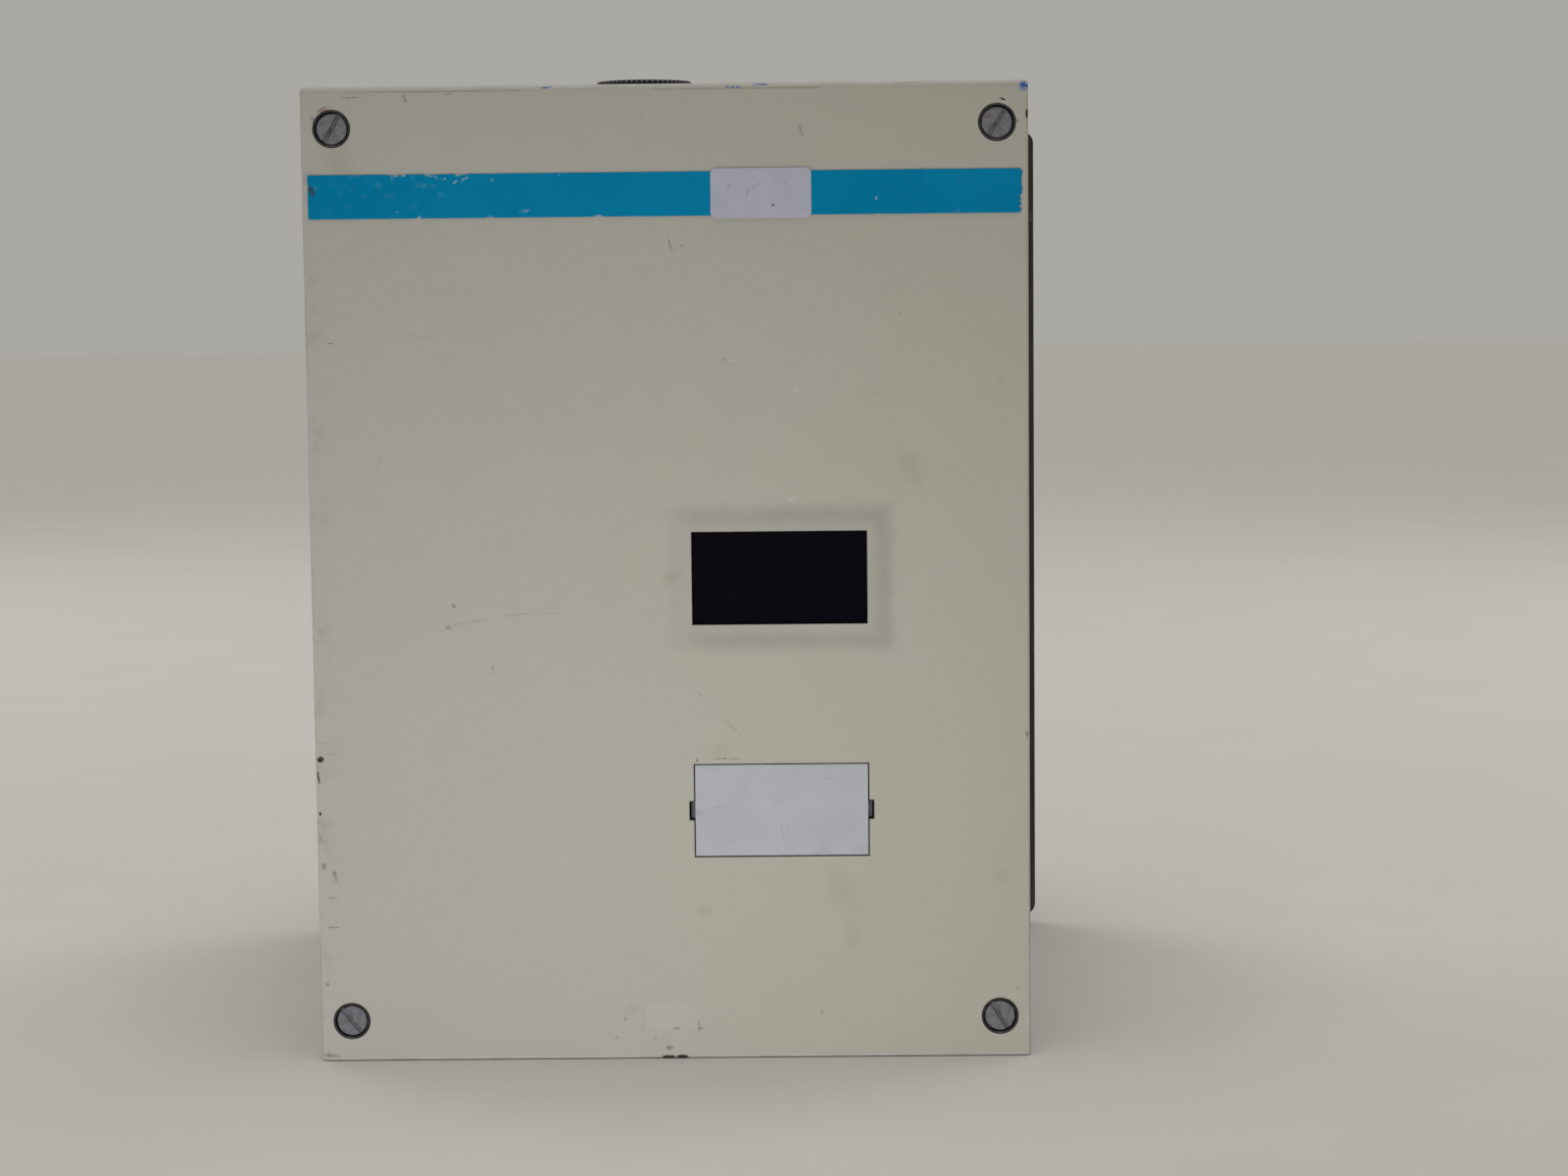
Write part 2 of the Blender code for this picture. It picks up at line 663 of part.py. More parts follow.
def make_cable_entry(materials):
    """A threaded sleeve through the top plate, a seal, and the knurled ring that clamps it."""
    bore = 8 * MM
    flange_radius = 15 * MM
    flange_low, flange_high = HOUSING_HIGH - 6.5 * MM, HOUSING_HIGH - SHEET - GAP
    sleeve_top = HOUSING_HIGH + 7 * MM
    sleeve = [
        (SLEEVE_RADIUS - 0.5 * MM, sleeve_top),
        (SLEEVE_RADIUS, sleeve_top - 0.5 * MM),
        (SLEEVE_RADIUS, flange_high),
        (flange_radius, flange_high),
        (flange_radius, flange_low),
        (bore, flange_low),
        (bore, sleeve_top),
    ]
    place = (ENTRY_X, depth(ENTRY_DEPTH), 0)
    upright = (0, 0, 0)
    turned("cable_entry_body", sleeve, materials["black_plastic"], place, upright, 24)
    hole = SLEEVE_RADIUS + 0.3 * MM
    seal_low, seal_high = HOUSING_HIGH + 0.2 * MM, HOUSING_HIGH + 1.7 * MM
    seal = [
        (14 * MM, seal_high),
        (14 * MM, seal_low),
        (hole, seal_low),
        (hole, seal_high),
    ]
    turned("cable_entry_seal", seal, materials["black_rubber"], place, upright, 24)
    ring_low, ring_high = seal_high + 0.2 * MM, HOUSING_HIGH + 8 * MM
    outline = []
    for step in range(2 * ENTRY_TEETH):
        radius = ENTRY_RADIUS - (step % 2) * 0.7 * MM
        angle = step * math.pi / ENTRY_TEETH
        outline.append((radius * math.cos(angle), radius * math.sin(angle)))
    ring = outline_plate(
        "cable_entry_ring",
        outline,
        ring_high - ring_low,
        materials["black_plastic"],
        (ENTRY_X, depth(ENTRY_DEPTH), (ring_low + ring_high) / 2),
    )
    ring_bore = cylinder(
        "ring_bore_cutter",
        hole,
        (ENTRY_X, depth(ENTRY_DEPTH), ring_low - 1 * MM),
        (ENTRY_X, depth(ENTRY_DEPTH), ring_high + 1 * MM),
    )
    cut(ring, ring_bore)


def make_grommets(materials):
    """Rubber grommets snapped into the bottom plate's cable holes."""
    groove_low, groove_high = HOUSING_LOW - 0.2 * MM, HOUSING_LOW + SHEET + 0.2 * MM
    low, high = 0.3 * MM, HOUSING_LOW + SHEET + 3 * MM
    lip, groove, bore = 12 * MM, 9.8 * MM, 7 * MM
    profile = [
        (lip - 1.2 * MM, high),
        (lip, high - 1.2 * MM),
        (lip, groove_high),
        (groove, groove_high),
        (groove, groove_low),
        (lip, groove_low),
        (lip - 0.6 * MM, low),
        (bore, low),
        (bore, high),
    ]
    for number, x in enumerate(GROMMET_XS, 1):
        place = (x, depth(GROMMET_DEPTH), 0)
        turned(
            f"cable_grommet_{number}", profile, materials["black_rubber"], place, (0, 0, 0), 18
        )


# Cooling --------------------------------------------------------------------------------------
def make_heat_sink(materials):
    """An extruded comb: a base across the housing and fins towards the wall."""
    half, fin, count = INNER_X - GAP, 2.4 * MM, 11
    low_z, high_z = 38 * MM, 262 * MM
    base_back = SINK_DEPTH + SINK_BASE
    outline = [(half, depth(SINK_DEPTH)), (half, depth(base_back))]
    for x in spread(count, 92 * MM, -92 * MM):
        outline += [
            (x + fin / 2, depth(base_back)),
            (x + fin / 2, depth(SINK_END)),
            (x - fin / 2, depth(SINK_END)),
            (x - fin / 2, depth(base_back)),
        ]
    outline += [(-half, depth(base_back)), (-half, depth(SINK_DEPTH))]
    place = (0, 0, (low_z + high_z) / 2)
    outline_plate("heat_sink", outline, high_z - low_z, materials["sink_aluminium"], place)


def make_fan(materials):
    """An axial fan that blows up between the fins: frame, rotor and wire guard."""
    middle = Vector((0, depth(FAN_DEPTH), 0))
    low, high = HOUSING_LOW + SHEET + GAP, HOUSING_LOW + SHEET + GAP + 25 * MM
    hub_radius, hub_disc = 14 * MM, 3 * MM
    half = FAN_SIZE / 2
    frame = block(
        "fan_frame",
        middle + Vector((-half, -half, low)),
        middle + Vector((half, half, high)),
        materials["black_plastic"],
    )
    edge = Vector((0, 0, 1 * MM))
    bore = cylinder(
        "fan_bore_cutter", FAN_BORE, middle + Vector((0, 0, low)) - edge,
        middle + Vector((0, 0, high)) + edge,
    )
    cut(frame, bore)
    web = 1.5 * MM
    cross = many_blocks(
        "fan_struts",
        [
            (middle + Vector((-half + 1 * MM, -web, low)),
             middle + Vector((half - 1 * MM, web, low + hub_disc))),
        ],
    )
    join(frame, cross)
    across = many_blocks(
        "fan_struts_across",
        [
            (middle + Vector((-web, -half + 1 * MM, low)),
             middle + Vector((web, half - 1 * MM, low + hub_disc))),
        ],
    )
    join(frame, across)
    disc = cylinder(
        "fan_hub_disc", hub_radius, middle + Vector((0, 0, low)),
        middle + Vector((0, 0, low + hub_disc)),
    )
    join(frame, disc)
    bearing = cylinder(
        "fan_bearing_cutter", 2.2 * MM, middle + Vector((0, 0, low - 1 * MM)),
        middle + Vector((0, 0, low + 2 * hub_disc)), segments=16,
    )
    cut(frame, bearing)

    rotor_low, rotor_high = low + hub_disc + 0.8 * MM, high - 1.5 * MM
    rotor_profile = [
        (0, rotor_high),
        (hub_radius - 1 * MM, rotor_high),
        (hub_radius, rotor_high - 1 * MM),
        (hub_radius, rotor_low),
        (1.8 * MM, rotor_low),
        (1.8 * MM, low + 0.5 * MM),
        (0, low + 0.5 * MM),
    ]
    upright = (0, 0, 0)
    black = materials["black_plastic"]
    rotor = turned("fan_impeller", rotor_profile, black, middle, upright, 24)
    shape = bmesh.new()
    reach, blade = FAN_BORE - 1.2 * MM, 1.2 * MM
    chord = 17 * MM
    blades = 7
    for number in range(blades):
        made = bmesh.ops.create_cube(shape, size=1)["verts"]
        root = hub_radius - 2 * MM
        bmesh.ops.scale(shape, vec=(reach - root, blade, chord), verts=made)
        pitch = Matrix.Rotation(math.radians(38), 4, "X")
        out = Matrix.Translation(((reach + root) / 2, 0, (rotor_low + rotor_high) / 2))
        around = Matrix.Rotation(number * math.tau / blades, 4, "Z")
        bmesh.ops.transform(shape, matrix=around @ out @ pitch, verts=made)
    vanes = link("fan_blades", mesh_from("fan_blades", shape), None, middle)
    join(rotor, vanes)
    make_fan_guard(materials)


def make_fan_guard(materials):
    """Two wire rings on a cross of wires, below the bottom plate, which the box stands on."""
    wire = (HOUSING_LOW - GAP) / 2
    middle = (0, depth(FAN_DEPTH), wire)
    rings = (13 * MM, 25 * MM)

    def ring(name, radius, material=None):
        circle = [
            (radius + wire * math.cos(turn), wire * math.sin(turn))
            for turn in ((1 - step) * math.tau / 4 for step in range(4))
        ]
        return turned(name, circle, material, middle, (0, 0, 0), 28)

    guard = ring("fan_guard", rings[0], materials["zinc_steel"])
    reach = 33 * MM
    for name, (dx, dy) in {"across": (1, 0), "along": (0, 1)}.items():
        ends = [
            Vector(middle) - Vector((dx, dy, 0)) * reach,
            Vector(middle) + Vector((dx, dy, 0)) * reach,
        ]
        axis = "X" if dx else "Y"
        bar = cylinder("guard_wire_" + name, wire - 0.12 * MM, *ends, axis, None, 8)
        join(guard, bar)
    for number, radius in enumerate(rings[1:], 2):
        join(guard, ring(f"guard_ring_{number}", radius))


# Electronics ----------------------------------------------------------------------------------
def make_board_carrier(materials):
    """A sheet carrier that spans the housing, with its sides folded back along the walls."""
    half = INNER_X - 0.5 * MM
    front, back = depth(CARRIER_DEPTH), depth(CARRIER_DEPTH + 12 * MM)
    path = [(-half, back), (-half, front), (half, front), (half, back)]
    carrier = bent_sheet(
        "board_carrier", path, "Z", 48 * MM, 262 * MM, materials["zinc_steel"], 1.2 * MM
    )
    reach = depth(CARRIER_DEPTH - 5 * MM), depth(CARRIER_DEPTH + 5 * MM)
    slots = [
        ((x - 1.5 * MM, reach[0], 236 * MM), (x + 1.5 * MM, reach[1], 254 * MM))
        for x in spread(9, -64 * MM, 64 * MM)
    ]
    cut(carrier, many_blocks("carrier_slot_cutter", slots))


BOARD_X = 80 * MM
BOARD_LOW, BOARD_HIGH = 52 * MM, 230 * MM
SPACER_X = 74 * MM
SPACER_ZS = (58 * MM, 224 * MM)


def make_control_board(materials):
    board = block(
        "control_board",
        (-BOARD_X, depth(BOARD_DEPTH), BOARD_LOW),
        (BOARD_X, depth(BOARD_DEPTH + BOARD), BOARD_HIGH),
        materials["board_green"],
    )
    places = [(x, z) for x in (-SPACER_X, SPACER_X) for z in SPACER_ZS]
    holes = [((x, depth(0), z), (x, depth(2 * BOARD_DEPTH), z)) for x, z in places]
    cut(board, many_cylinders("board_hole_cutter", 1.6 * MM, holes, "Y", 12))
    for number, (x, z) in enumerate(places, 1):
        cylinder(
            f"board_spacer_{number}",
            3.2 * MM,
            (x, depth(BOARD_DEPTH + BOARD + GAP), z),
            (x, depth(CARRIER_DEPTH - GAP), z),
            "Y",
            materials["brass"],
            6,
        )


def make_display(materials):
    size = (50.3 * MM, 19 * MM)
    front, back = 18 * MM, BOARD_DEPTH - GAP
    module = block(
        "display_module",
        (OPENING_X - size[0] / 2, depth(front), WINDOW_Z - size[1] / 2),
        (OPENING_X + size[0] / 2, depth(back), WINDOW_Z + size[1] / 2),
        materials["display_red"],
    )
    round_edges(module, 0.4 * MM, 1)


CONNECTOR_Z = 81 * MM
KEY_Z = 66.5 * MM
KEY_XS = (OPENING_X - 14 * MM, OPENING_X, OPENING_X + 14 * MM)


def make_service_connector(materials):
    """A 15 way connector: a flange plate with a tapered shell standing out of it."""
    back, plate_back, plate_front, shell_front = 25.7 * MM, 19 * MM, 18.2 * MM, 12.5 * MM
    place, turn = facing_front(OPENING_X, (plate_front + plate_back) / 2, CONNECTOR_Z)
    connector = outline_plate(
        "service_connector",
        rounded_rectangle(39 * MM, 12 * MM, 1.5 * MM, 3),
        plate_back - plate_front,
        materials["zinc_steel"],
        place,
        turn,
    )
    top, bottom, half_height = 12.6 * MM, 11 * MM, 4.2 * MM
    shell = [(top, half_height), (-top, half_height), (-bottom, -half_height),
             (bottom, -half_height)]
    place, turn = facing_front(OPENING_X, (shell_front + plate_back) / 2, CONNECTOR_Z)
    join(connector, outline_plate(
        "connector_shell", shell, plate_back - shell_front, None, place, turn))
    hollow = [(x * 0.93, z * 0.84) for x, z in shell]
    place, turn = facing_front(OPENING_X, shell_front, CONNECTOR_Z)
    cut(connector, outline_plate(
        "connector_hollow", hollow, 2 * 5 * MM, None, place, turn))
    body = block(
        "connector_body",
        (OPENING_X - 12 * MM, depth(plate_back - 0.4 * MM), CONNECTOR_Z - 4.5 * MM),
        (OPENING_X + 12 * MM, depth(back), CONNECTOR_Z + 4.5 * MM),
    )
    join(connector, body)


def make_keys(materials):
    """Three setting keys that slide in one switch block behind the hatch."""
    front, back = 19.5 * MM, BOARD_DEPTH - GAP
    stem, hole, cap = 2.2 * MM, 2.5 * MM, 3 * MM
    cap_front, cap_back = 14.5 * MM, 18 * MM
    stem_back = 24.5 * MM
    switches = block(
        "key_switch_block",
        (KEY_XS[0] - 5 * MM, depth(front), KEY_Z - 4.5 * MM),
        (KEY_XS[-1] + 5 * MM, depth(back), KEY_Z + 4.5 * MM),
        materials["black_plastic"],
    )
    ends = [((x, depth(front - 2 * MM), KEY_Z), (x, depth(stem_back + 0.8 * MM), KEY_Z))
            for x in KEY_XS]
    cut(switches, many_cylinders("key_hole_cutter", hole, ends, "Y", 16))
    profile = [
        (0, -cap_front),
        (cap - 0.4 * MM, -cap_front),
        (cap, -cap_front - 0.4 * MM),
        (cap, -cap_back),
        (stem, -cap_back),
        (stem, -stem_back),
        (0, -stem_back),
    ]
    for number, x in enumerate(KEY_XS, 1):
        place, turn = facing_front(x, 0, KEY_Z)
        turned(f"setting_key_{number}", profile, materials["key_grey"], place, turn, 16)


def make_terminal_strip(name, material, low, high, poles, screw_radius, screw_depth):
    """A row of screw terminals: a wire mouth below and a screw well in front of each pole."""
    low, high = Vector(low), Vector(high)
    strip = block(name, low, high, material)
    step = (high.x - low.x) / poles
    xs = [low.x + step * (pole + 0.5) for pole in range(poles)]
    well_z = high.z - (high.z - low.z) * 0.36
    wells = [((x, low.y - 1 * MM, well_z), (x, low.y + screw_depth, well_z)) for x in xs]
    cut(strip, many_cylinders(name + "_wells", screw_radius, wells, "Y", 10))
    mouth = step * 0.32
    boxes = [
        ((x - mouth, low.y + 1.2 * MM, low.z - 1 * MM),
         (x + mouth, low.y + 1.2 * MM + 2 * mouth, low.z + (high.z - low.z) * 0.35))
        for x in xs
    ]
    cut(strip, many_blocks(name + "_mouths", boxes))
    return strip


def make_terminals(materials):
    make_terminal_strip(
        "control_terminal_strip",
        materials["terminal_green"],
        (-74 * MM, depth(13 * MM), 54 * MM),
        (-2 * MM, depth(BOARD_DEPTH - GAP), 66 * MM),
        12,
        1.6 * MM,
        2 * MM,
    )
    make_terminal_strip(
        "power_terminal_block",
        materials["terminal_grey"],
        (-72 * MM, depth(48 * MM), 18 * MM),
        (18 * MM, depth(76 * MM), 44 * MM),
        7,
        3.2 * MM,
        2 * MM,
    )
    face, foot = 76.3 * MM, 96 * MM
    path = [
        (depth(face), 50 * MM),
        (depth(face), HOUSING_LOW + SHEET + GAP),
        (depth(foot), HOUSING_LOW + SHEET + GAP),
    ]
    bent_sheet(
        "terminal_bracket", path, "X", -78 * MM, 24 * MM, materials["zinc_steel"], 1.5 * MM
    )
    stud_x, stud_depth = 66 * MM, 50 * MM
    stud = [
        (0, 26 * MM),
        (3 * MM, 26 * MM),
        (3 * MM, 14 * MM),
        (5.5 * MM, 14 * MM),
        (5.5 * MM, 9 * MM),
        (7 * MM, 9 * MM),
        (7 * MM, HOUSING_LOW + SHEET + GAP),
        (0, HOUSING_LOW + SHEET + GAP),
    ]
    place = (stud_x, depth(stud_depth), 0)
    turned("earth_stud", stud, materials["brass"], place, (0, 0, 0), 16)


def make_power_section(materials):
    """Power board with two capacitors in front of it and the power module on the heat sink."""
    block(
        "power_board",
        (-86 * MM, depth(POWER_BOARD_DEPTH), 66 * MM),
        (86 * MM, depth(POWER_BOARD_DEPTH + BOARD), 256 * MM),
        materials["board_green"],
    )
    module = block(
        "power_module",
        (-47 * MM, depth(POWER_BOARD_DEPTH + BOARD + GAP), 110 * MM),
        (47 * MM, depth(SINK_DEPTH - GAP), 156 * MM),
        materials["black_plastic"],
    )
    round_edges(module, 1 * MM, 2)
    radius, front, back = 24 * MM, 46 * MM, POWER_BOARD_DEPTH - GAP
    can = [
        (0, -front - 0.8 * MM),
        (radius - 3 * MM, -front - 0.8 * MM),
        (radius - 2.4 * MM, -front),
        (radius - 1 * MM, -front),
        (radius, -front - 1 * MM),
        (radius, -back + 5 * MM),
        (radius - 1 * MM, -back + 3.8 * MM),
        (radius, -back + 2.6 * MM),
        (radius, -back),
        (0, -back),
    ]
    for name, x in (("left", -56 * MM), ("right", 0)):
        place, turn = facing_front(x, 0, 196 * MM)
        turned("capacitor_" + name, can, materials["capacitor_sleeve"], place, turn, 20)


def make_choke(materials):
    """A line choke beside the right wall: a laminated frame with a winding on its middle leg."""
    low = Vector((52 * MM, depth(52 * MM), 78 * MM))
    high = Vector((100 * MM, depth(82 * MM), 126 * MM))
    leg, window_width, yoke = 12 * MM, 12 * MM, 6 * MM
    core = block("choke_core", low, high, materials["core_steel"])
    middle_x = (low.x + high.x) / 2
    windows = []
    for side in (-1, 1):
        near = middle_x + side * leg / 2
        far = near + side * window_width
        windows.append(
            ((min(near, far), low.y - 1 * MM, low.z + yoke),
             (max(near, far), high.y + 1 * MM, high.z - yoke))
        )
    cut(core, many_blocks("choke_window_cutter", windows))
    spare = 0.4 * MM
    reach = leg / 2 + window_width - spare
    winding = block(
        "choke_winding",
        (middle_x - reach, low.y - 9 * MM, low.z + yoke + spare),
        (middle_x + reach, high.y + 9 * MM, high.z - yoke - spare),
        materials["winding_copper"],
    )
    round_edges(winding, 3 * MM, 2)
    around_leg = block(
        "choke_leg_cutter",
        (middle_x - leg / 2 - spare, low.y - spare, low.z),
        (middle_x + leg / 2 + spare, high.y + spare, high.z),
    )
    cut(winding, around_leg)


def make_ribbon(materials):
    """The flat cable from the top of the control board, over the carrier, to the power board."""
    left, right = 20 * MM, 52 * MM
    front = depth(BOARD_DEPTH - GAP - 1 * MM)
    back = depth(POWER_BOARD_DEPTH - GAP)
    path = [
        (front, 218 * MM),
        (front - 6 * MM, 224 * MM),
        (front - 6 * MM, 258 * MM),
        (front + 4 * MM, 268 * MM),
        (back - 14 * MM, 268 * MM),
        (back - 4 * MM, 258 * MM),
        (back - 4 * MM, 244 * MM),
        (back - 1 * MM, 238 * MM),
    ]
    bent_sheet(
        "ribbon_cable", path, "X", left, right, materials["ribbon_grey"], 1 * MM, 3 * MM
    )


# Assembly -------------------------------------------------------------------------------------
def shade_round_pieces():
    """Smooth shading with sharp edges kept where faces meet at more than 35 degrees."""
    for obj in PARTS.objects:
        obj.data.shade_smooth()
        obj.data.set_sharp_from_angle(angle=math.radians(35))


def main():
    for obj in list(bpy.data.objects):
        bpy.data.objects.remove(obj)
    for collection in (PARTS, CUTTERS):
        bpy.context.scene.collection.children.link(collection)
    materials = make_materials()
    make_cover(materials)
    make_band_and_label(materials)
    make_window(materials)
    make_hatch(materials)
    make_screws(materials)
    make_side_walls(materials)
    make_top_plate(materials)
    make_bottom_plate(materials)
    make_rear_plate(materials)
    make_cable_entry(materials)
    make_grommets(materials)
    make_heat_sink(materials)
    make_fan(materials)
    make_board_carrier(materials)
    make_control_board(materials)
    make_display(materials)
    make_service_connector(materials)
    make_keys(materials)
    make_terminals(materials)
    make_power_section(materials)
    make_choke(materials)
    make_ribbon(materials)
    shade_round_pieces()


main()
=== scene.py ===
"""Looks for the wall-mounted drive controller box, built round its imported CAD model.

The pieces that show are remade here with finer shapes, and every other CAD node gets a
procedural material. Shapes and materials are in millimetres, in the CAD's own axes: +X to the
right seen from the front, +Y towards the wall, +Z up. piece() scales the shapes to metres, and
only the floor and the lights are given in metres.
"""

import math
import random

import bmesh
import bpy
from mathutils import Euler, Matrix, Vector


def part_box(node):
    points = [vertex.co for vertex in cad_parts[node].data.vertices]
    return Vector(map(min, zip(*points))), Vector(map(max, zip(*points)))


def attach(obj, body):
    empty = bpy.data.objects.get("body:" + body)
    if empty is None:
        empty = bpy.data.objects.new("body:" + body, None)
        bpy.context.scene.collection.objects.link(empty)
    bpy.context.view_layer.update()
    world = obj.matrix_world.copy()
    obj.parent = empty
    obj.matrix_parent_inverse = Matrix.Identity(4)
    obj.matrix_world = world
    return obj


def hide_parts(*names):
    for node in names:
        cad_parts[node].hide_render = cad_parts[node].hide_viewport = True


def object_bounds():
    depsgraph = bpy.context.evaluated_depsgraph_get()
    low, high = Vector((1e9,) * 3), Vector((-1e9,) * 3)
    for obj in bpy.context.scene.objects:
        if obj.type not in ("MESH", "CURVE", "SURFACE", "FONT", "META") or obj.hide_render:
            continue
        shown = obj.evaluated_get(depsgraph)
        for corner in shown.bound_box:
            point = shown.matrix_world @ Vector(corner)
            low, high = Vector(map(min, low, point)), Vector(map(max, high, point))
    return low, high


MM = 0.001
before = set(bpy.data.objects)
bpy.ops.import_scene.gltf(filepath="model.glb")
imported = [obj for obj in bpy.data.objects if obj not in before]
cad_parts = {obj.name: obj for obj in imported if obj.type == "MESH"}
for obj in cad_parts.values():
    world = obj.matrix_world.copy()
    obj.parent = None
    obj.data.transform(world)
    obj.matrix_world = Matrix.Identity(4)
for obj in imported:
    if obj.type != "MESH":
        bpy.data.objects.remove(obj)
CAD_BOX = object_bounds()


def box(node):
    """A CAD node's lowest and highest corners."""
    return [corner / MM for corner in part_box(node)]


def middle_of(node):
    return sum(box(node), Vector()) / 2


COVER_LOW, COVER_HIGH = box("front_cover")
FRONT = COVER_LOW.y
COVER_TOP = COVER_HIGH.z
# Opposite corners of the cut-out for the display, and the angle of each cover screw's slot.
WINDOW = [Vector((x, FRONT, COVER_LOW.z + z)) for x, z in ((6.3, 129.0), (57.7, 156.4))]
SLOT_TURNS = {"top_left": -62, "top_right": -57, "bottom_left": 50, "bottom_right": 58}
SCREWS = {corner: middle_of("cover_screw_" + corner) for corner in SLOT_TURNS}
REAR_SCREWS = [(x, z) for x in (-96, 96) for z in (30, 140, 262)]


# Materials ------------------------------------------------------------------------------------
class Look:
    """One material, with short calls for its nodes. Its tone is the colour laid so far."""

    def __init__(self, name, colour, roughness, metallic=0.0, specular=0.5):
        self.material = bpy.data.materials.new(name)
        self.material.use_nodes = True
        self.material.diffuse_color = (*colour, 1)
        self.tree = self.material.node_tree
        self.shader = self.tree.nodes["Principled BSDF"]
        for socket, value in (
            ("Base Color", colour), ("Roughness", roughness), ("Metallic", metallic),
            ("Specular IOR Level", specular),
        ):
            self.put(self.shader.inputs[socket], value)
        metres = self.node("ShaderNodeTexCoord").outputs["Object"]
        self.at = self.scaled(metres, 1 / MM)
        self.tone = colour

    def node(self, kind, inputs=None, **settings):
        made = self.tree.nodes.new(kind)
        for name, value in settings.items():
            setattr(made, name, value)
        for name, value in (inputs or {}).items():
            self.put(made.inputs[name], value)
        return made

    def put(self, socket, value):
        if isinstance(value, bpy.types.NodeSocket):
            self.tree.links.new(value, socket)
        elif socket.type == "RGBA":
            socket.default_value = (*value, 1)
        else:
            socket.default_value = value

    def maths(self, operation, first, second=0.0):
        made = self.node("ShaderNodeMath", {0: first, 1: second}, operation=operation)
        return made.outputs[0]

    def times(self, first, *others):
        for other in others:
            first = self.maths("MULTIPLY", first, other)
        return first

    def most(self, first, *others):
        for other in others:
            first = self.maths("MAXIMUM", first, other)
        return first

    def away(self, value, centre=0.0):
        """How far a value is from the centre, either way."""
        return self.maths("ABSOLUTE", self.maths("SUBTRACT", value, centre))

    def wave(self, value, pitch):
        return self.maths("SINE", self.times(value, math.tau / pitch))

    def vector(self, operation, first, second):
        made = self.node("ShaderNodeVectorMath", {0: first, 1: second}, operation=operation)
        return made.outputs[0]

    def scaled(self, vector, by):
        made = self.node("ShaderNodeVectorMath", {0: vector, "Scale": by}, operation="SCALE")
        return made.outputs[0]

    def mix(self, share, first, second):
        made = self.node("ShaderNodeMix", {0: share, 6: first, 7: second}, data_type="RGBA")
        return made.outputs[2]

    def coat(self, share, colour):
        """Lays a colour over the tone."""
        self.tone = self.mix(share, self.tone, colour)

    def step(self, value, low, high, to_low=0.0, to_high=1.0):
        """Goes smoothly from to_low to to_high as the value goes from low to high."""
        limits = {"From Min": low, "From Max": high, "To Min": to_low, "To Max": to_high}
        made = self.node("ShaderNodeMapRange", {"Value": value, **limits},
                         interpolation_type="SMOOTHSTEP")
        return made.outputs["Result"]

    def noise(self, size, detail, at=None, output="Fac"):
        """Noise whose lumps are about this size across."""
        inputs = {"Vector": at or self.at, "Scale": 1 / size, "Detail": detail}
        return self.node("ShaderNodeTexNoise", inputs).outputs[output]

    def cloud(self, size, detail, *step, at=None):
        """Noise put through a step."""
        return self.step(self.noise(size, detail, at), *step)

    def parts(self, at=None):
        made = self.node("ShaderNodeSeparateXYZ", {0: at or self.at})
        return made.outputs["X"], made.outputs["Y"], made.outputs["Z"]

    def facing_up(self, low, high):
        normal = self.node("ShaderNodeNewGeometry").outputs["Normal"]
        return self.step(self.parts(normal)[2], low, high)

    def warped(self, size, reach):
        """The coordinates shifted about by up to half the reach."""
        shift = self.vector("SUBTRACT", self.noise(size, 2, output="Color"), (0.5, 0.5, 0.5))
        return self.vector("ADD", self.at, self.scaled(shift, reach))

    def stretched(self, scale, turn=(0, 0, 0)):
        """The coordinates scaled, then turned: a pattern runs long where the scale is low."""
        inputs = {"Vector": self.at, "Rotation": turn, "Scale": scale}
        return self.node("ShaderNodeMapping", inputs).outputs[0]

    def spots(self, rows, at):
        """1 in the middle of ellipses on the XZ plane, falling to 0 at their rims.

        A row gives x, z above the cover's lower edge, half length, half width and tilt.
        """
        found = []
        endless = 1e5
        for x, z, length, width, turn in rows:
            mapping = self.node("ShaderNodeMapping", {
                "Vector": at, "Location": (x, 0, COVER_LOW.z + z),
                "Rotation": (0, -math.radians(turn), 0), "Scale": (length, endless, width),
            }, vector_type="TEXTURE")
            found.append(self.node(
                "ShaderNodeTexGradient", {"Vector": mapping.outputs[0]},
                gradient_type="SPHERICAL",
            ).outputs["Fac"])
        return self.most(*found)

    def bump(self, height, distance, strength=1.0, under=None):
        inputs = {"Height": height, "Distance": distance * MM, "Strength": strength}
        if under is not None:
            inputs["Normal"] = under
        return self.node("ShaderNodeBump", inputs).outputs["Normal"]

    def finish(self, roughness=None, normal=None, metallic=None):
        for name, value in (("Base Color", self.tone), ("Roughness", roughness),
                            ("Normal", normal), ("Metallic", metallic)):
            if value is not None:
                self.put(self.shader.inputs[name], value)
        return self.material


PAINT = (0.43, 0.42, 0.377)
PAINT_WARM = (0.425, 0.405, 0.335)
PAINT_COOL = (0.44, 0.43, 0.395)
CHALK = (0.60, 0.61, 0.62)


def darker(colour, share):
    return tuple(share * part for part in colour)


